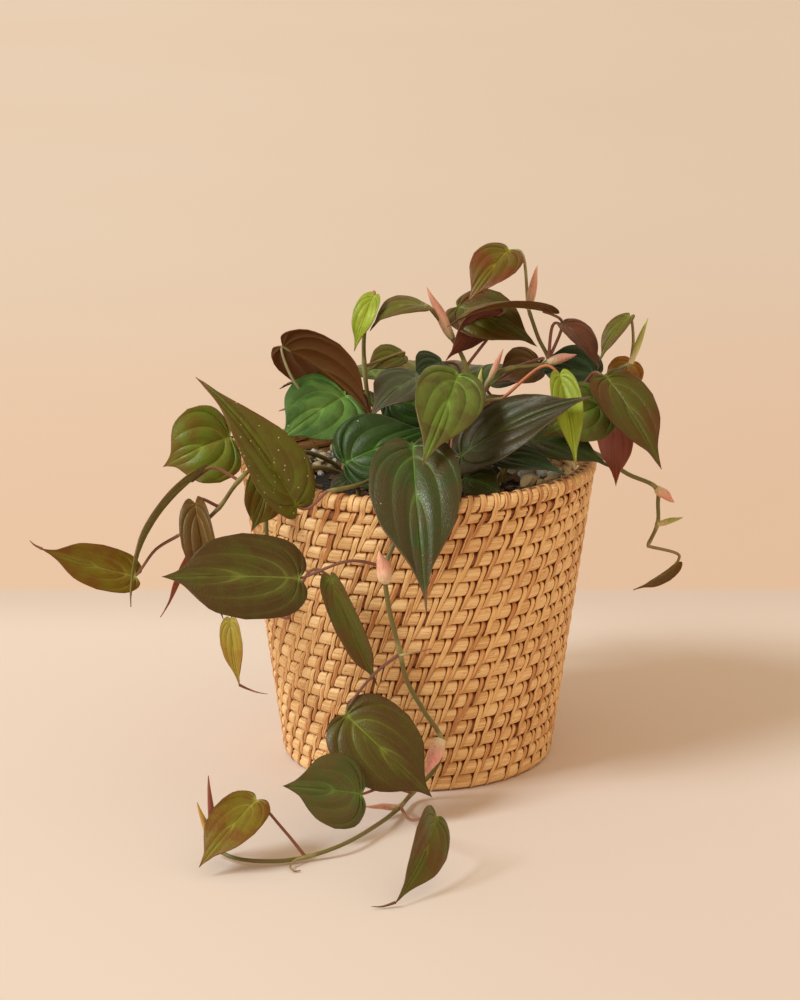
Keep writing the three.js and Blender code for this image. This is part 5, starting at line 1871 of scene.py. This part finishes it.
class PLANT_OT_stage(bpy.types.Operator):
    """Sets up the camera, the floor and the lights"""

    bl_idname = "plant.stage"
    bl_label = "Stage"
    bl_options = {"REGISTER", "UNDO"}

    def execute(self, context):
        make_stage(context.scene.plant_stage)
        return {"FINISHED"}


class PLANT_OT_reeds(bpy.types.Operator):
    """Coils the basket's rows of reed"""

    bl_idname = "plant.reeds"
    bl_label = "Coiled reed"
    bl_options = {"REGISTER", "UNDO"}

    def execute(self, context):
        make_reeds(context.scene.plant_basket)
        return {"FINISHED"}


class PLANT_OT_strips(bpy.types.Operator):
    """Binds the rows of reed with strips"""

    bl_idname = "plant.strips"
    bl_label = "Binding strips"
    bl_options = {"REGISTER", "UNDO"}

    def execute(self, context):
        make_strips(context.scene.plant_basket)
        return {"FINISHED"}


class PLANT_OT_base(bpy.types.Operator):
    """Coils and binds the basket's base"""

    bl_idname = "plant.base"
    bl_label = "Basket base"
    bl_options = {"REGISTER", "UNDO"}

    def execute(self, context):
        make_base(context.scene.plant_basket)
        return {"FINISHED"}


class PLANT_OT_pot(bpy.types.Operator):
    """Finishes the plastic pot inside the basket"""

    bl_idname = "plant.pot"
    bl_label = "Nursery pot"
    bl_options = {"REGISTER", "UNDO"}

    def execute(self, context):
        make_pot(context.scene.plant_soil)
        return {"FINISHED"}


class PLANT_OT_soil(bpy.types.Operator):
    """Fills the pot with soil and bark chips"""

    bl_idname = "plant.soil"
    bl_label = "Potting soil"
    bl_options = {"REGISTER", "UNDO"}

    def execute(self, context):
        make_soil(context.scene.plant_soil)
        return {"FINISHED"}


class PLANT_OT_stones(bpy.types.Operator):
    """Lays pumice and gravel along the wall"""

    bl_idname = "plant.stones"
    bl_label = "Stones"
    bl_options = {"REGISTER", "UNDO"}

    def execute(self, context):
        make_stones(context.scene.plant_soil)
        return {"FINISHED"}


class PLANT_OT_stems(bpy.types.Operator):
    """Grows the stems, stalks and sheaths"""

    bl_idname = "plant.stems"
    bl_label = "Stems"
    bl_options = {"REGISTER", "UNDO"}

    def execute(self, context):
        make_stems(context.scene.plant_stem)
        return {"FINISHED"}


class PLANT_OT_leaves(bpy.types.Operator):
    """Grows the leaf blades"""

    bl_idname = "plant.leaves"
    bl_label = "Leaves"
    bl_options = {"REGISTER", "UNDO"}

    def execute(self, context):
        make_leaves(context.scene.plant_leaf)
        return {"FINISHED"}


OPERATORS = [PLANT_OT_stage, PLANT_OT_reeds, PLANT_OT_strips, PLANT_OT_base, PLANT_OT_pot,
             PLANT_OT_soil, PLANT_OT_stones, PLANT_OT_stems, PLANT_OT_leaves]


class PLANT_PT_sidebar(bpy.types.Panel):
    """Lists the steps that make the plant."""

    bl_label = "Velvet leaf plant"
    bl_idname = "PLANT_PT_sidebar"
    bl_space_type = "VIEW_3D"
    bl_region_type = "UI"
    bl_category = "Plant"

    def draw(self, context):
        for group in SETTINGS:
            box = self.layout.box()
            for key in getattr(context.scene, group).bl_rna.properties.keys():
                if key not in ("rna_type", "name"):
                    box.prop(getattr(context.scene, group), key)
        for made in OPERATORS:
            self.layout.operator(made.bl_idname)


def register():
    for group, kind in SETTINGS.items():
        bpy.utils.register_class(kind)
        setattr(bpy.types.Scene, group, PointerProperty(type=kind))
    for made in OPERATORS:
        bpy.utils.register_class(made)
    bpy.utils.register_class(PLANT_PT_sidebar)


def unregister():
    bpy.utils.unregister_class(PLANT_PT_sidebar)
    for made in reversed(OPERATORS):
        bpy.utils.unregister_class(made)
    for group, kind in reversed(SETTINGS.items()):
        delattr(bpy.types.Scene, group)
        bpy.utils.unregister_class(kind)


def main():
    register()
    fibre_group()
    skin_group()
    bpy.ops.plant.stage()
    bpy.ops.plant.reeds()
    bpy.ops.plant.strips()
    bpy.ops.plant.base()
    bpy.ops.plant.pot()
    bpy.ops.plant.soil()
    bpy.ops.plant.stones()
    bpy.ops.plant.stems()
    bpy.ops.plant.leaves()


if __name__ == "__main__":
    main()
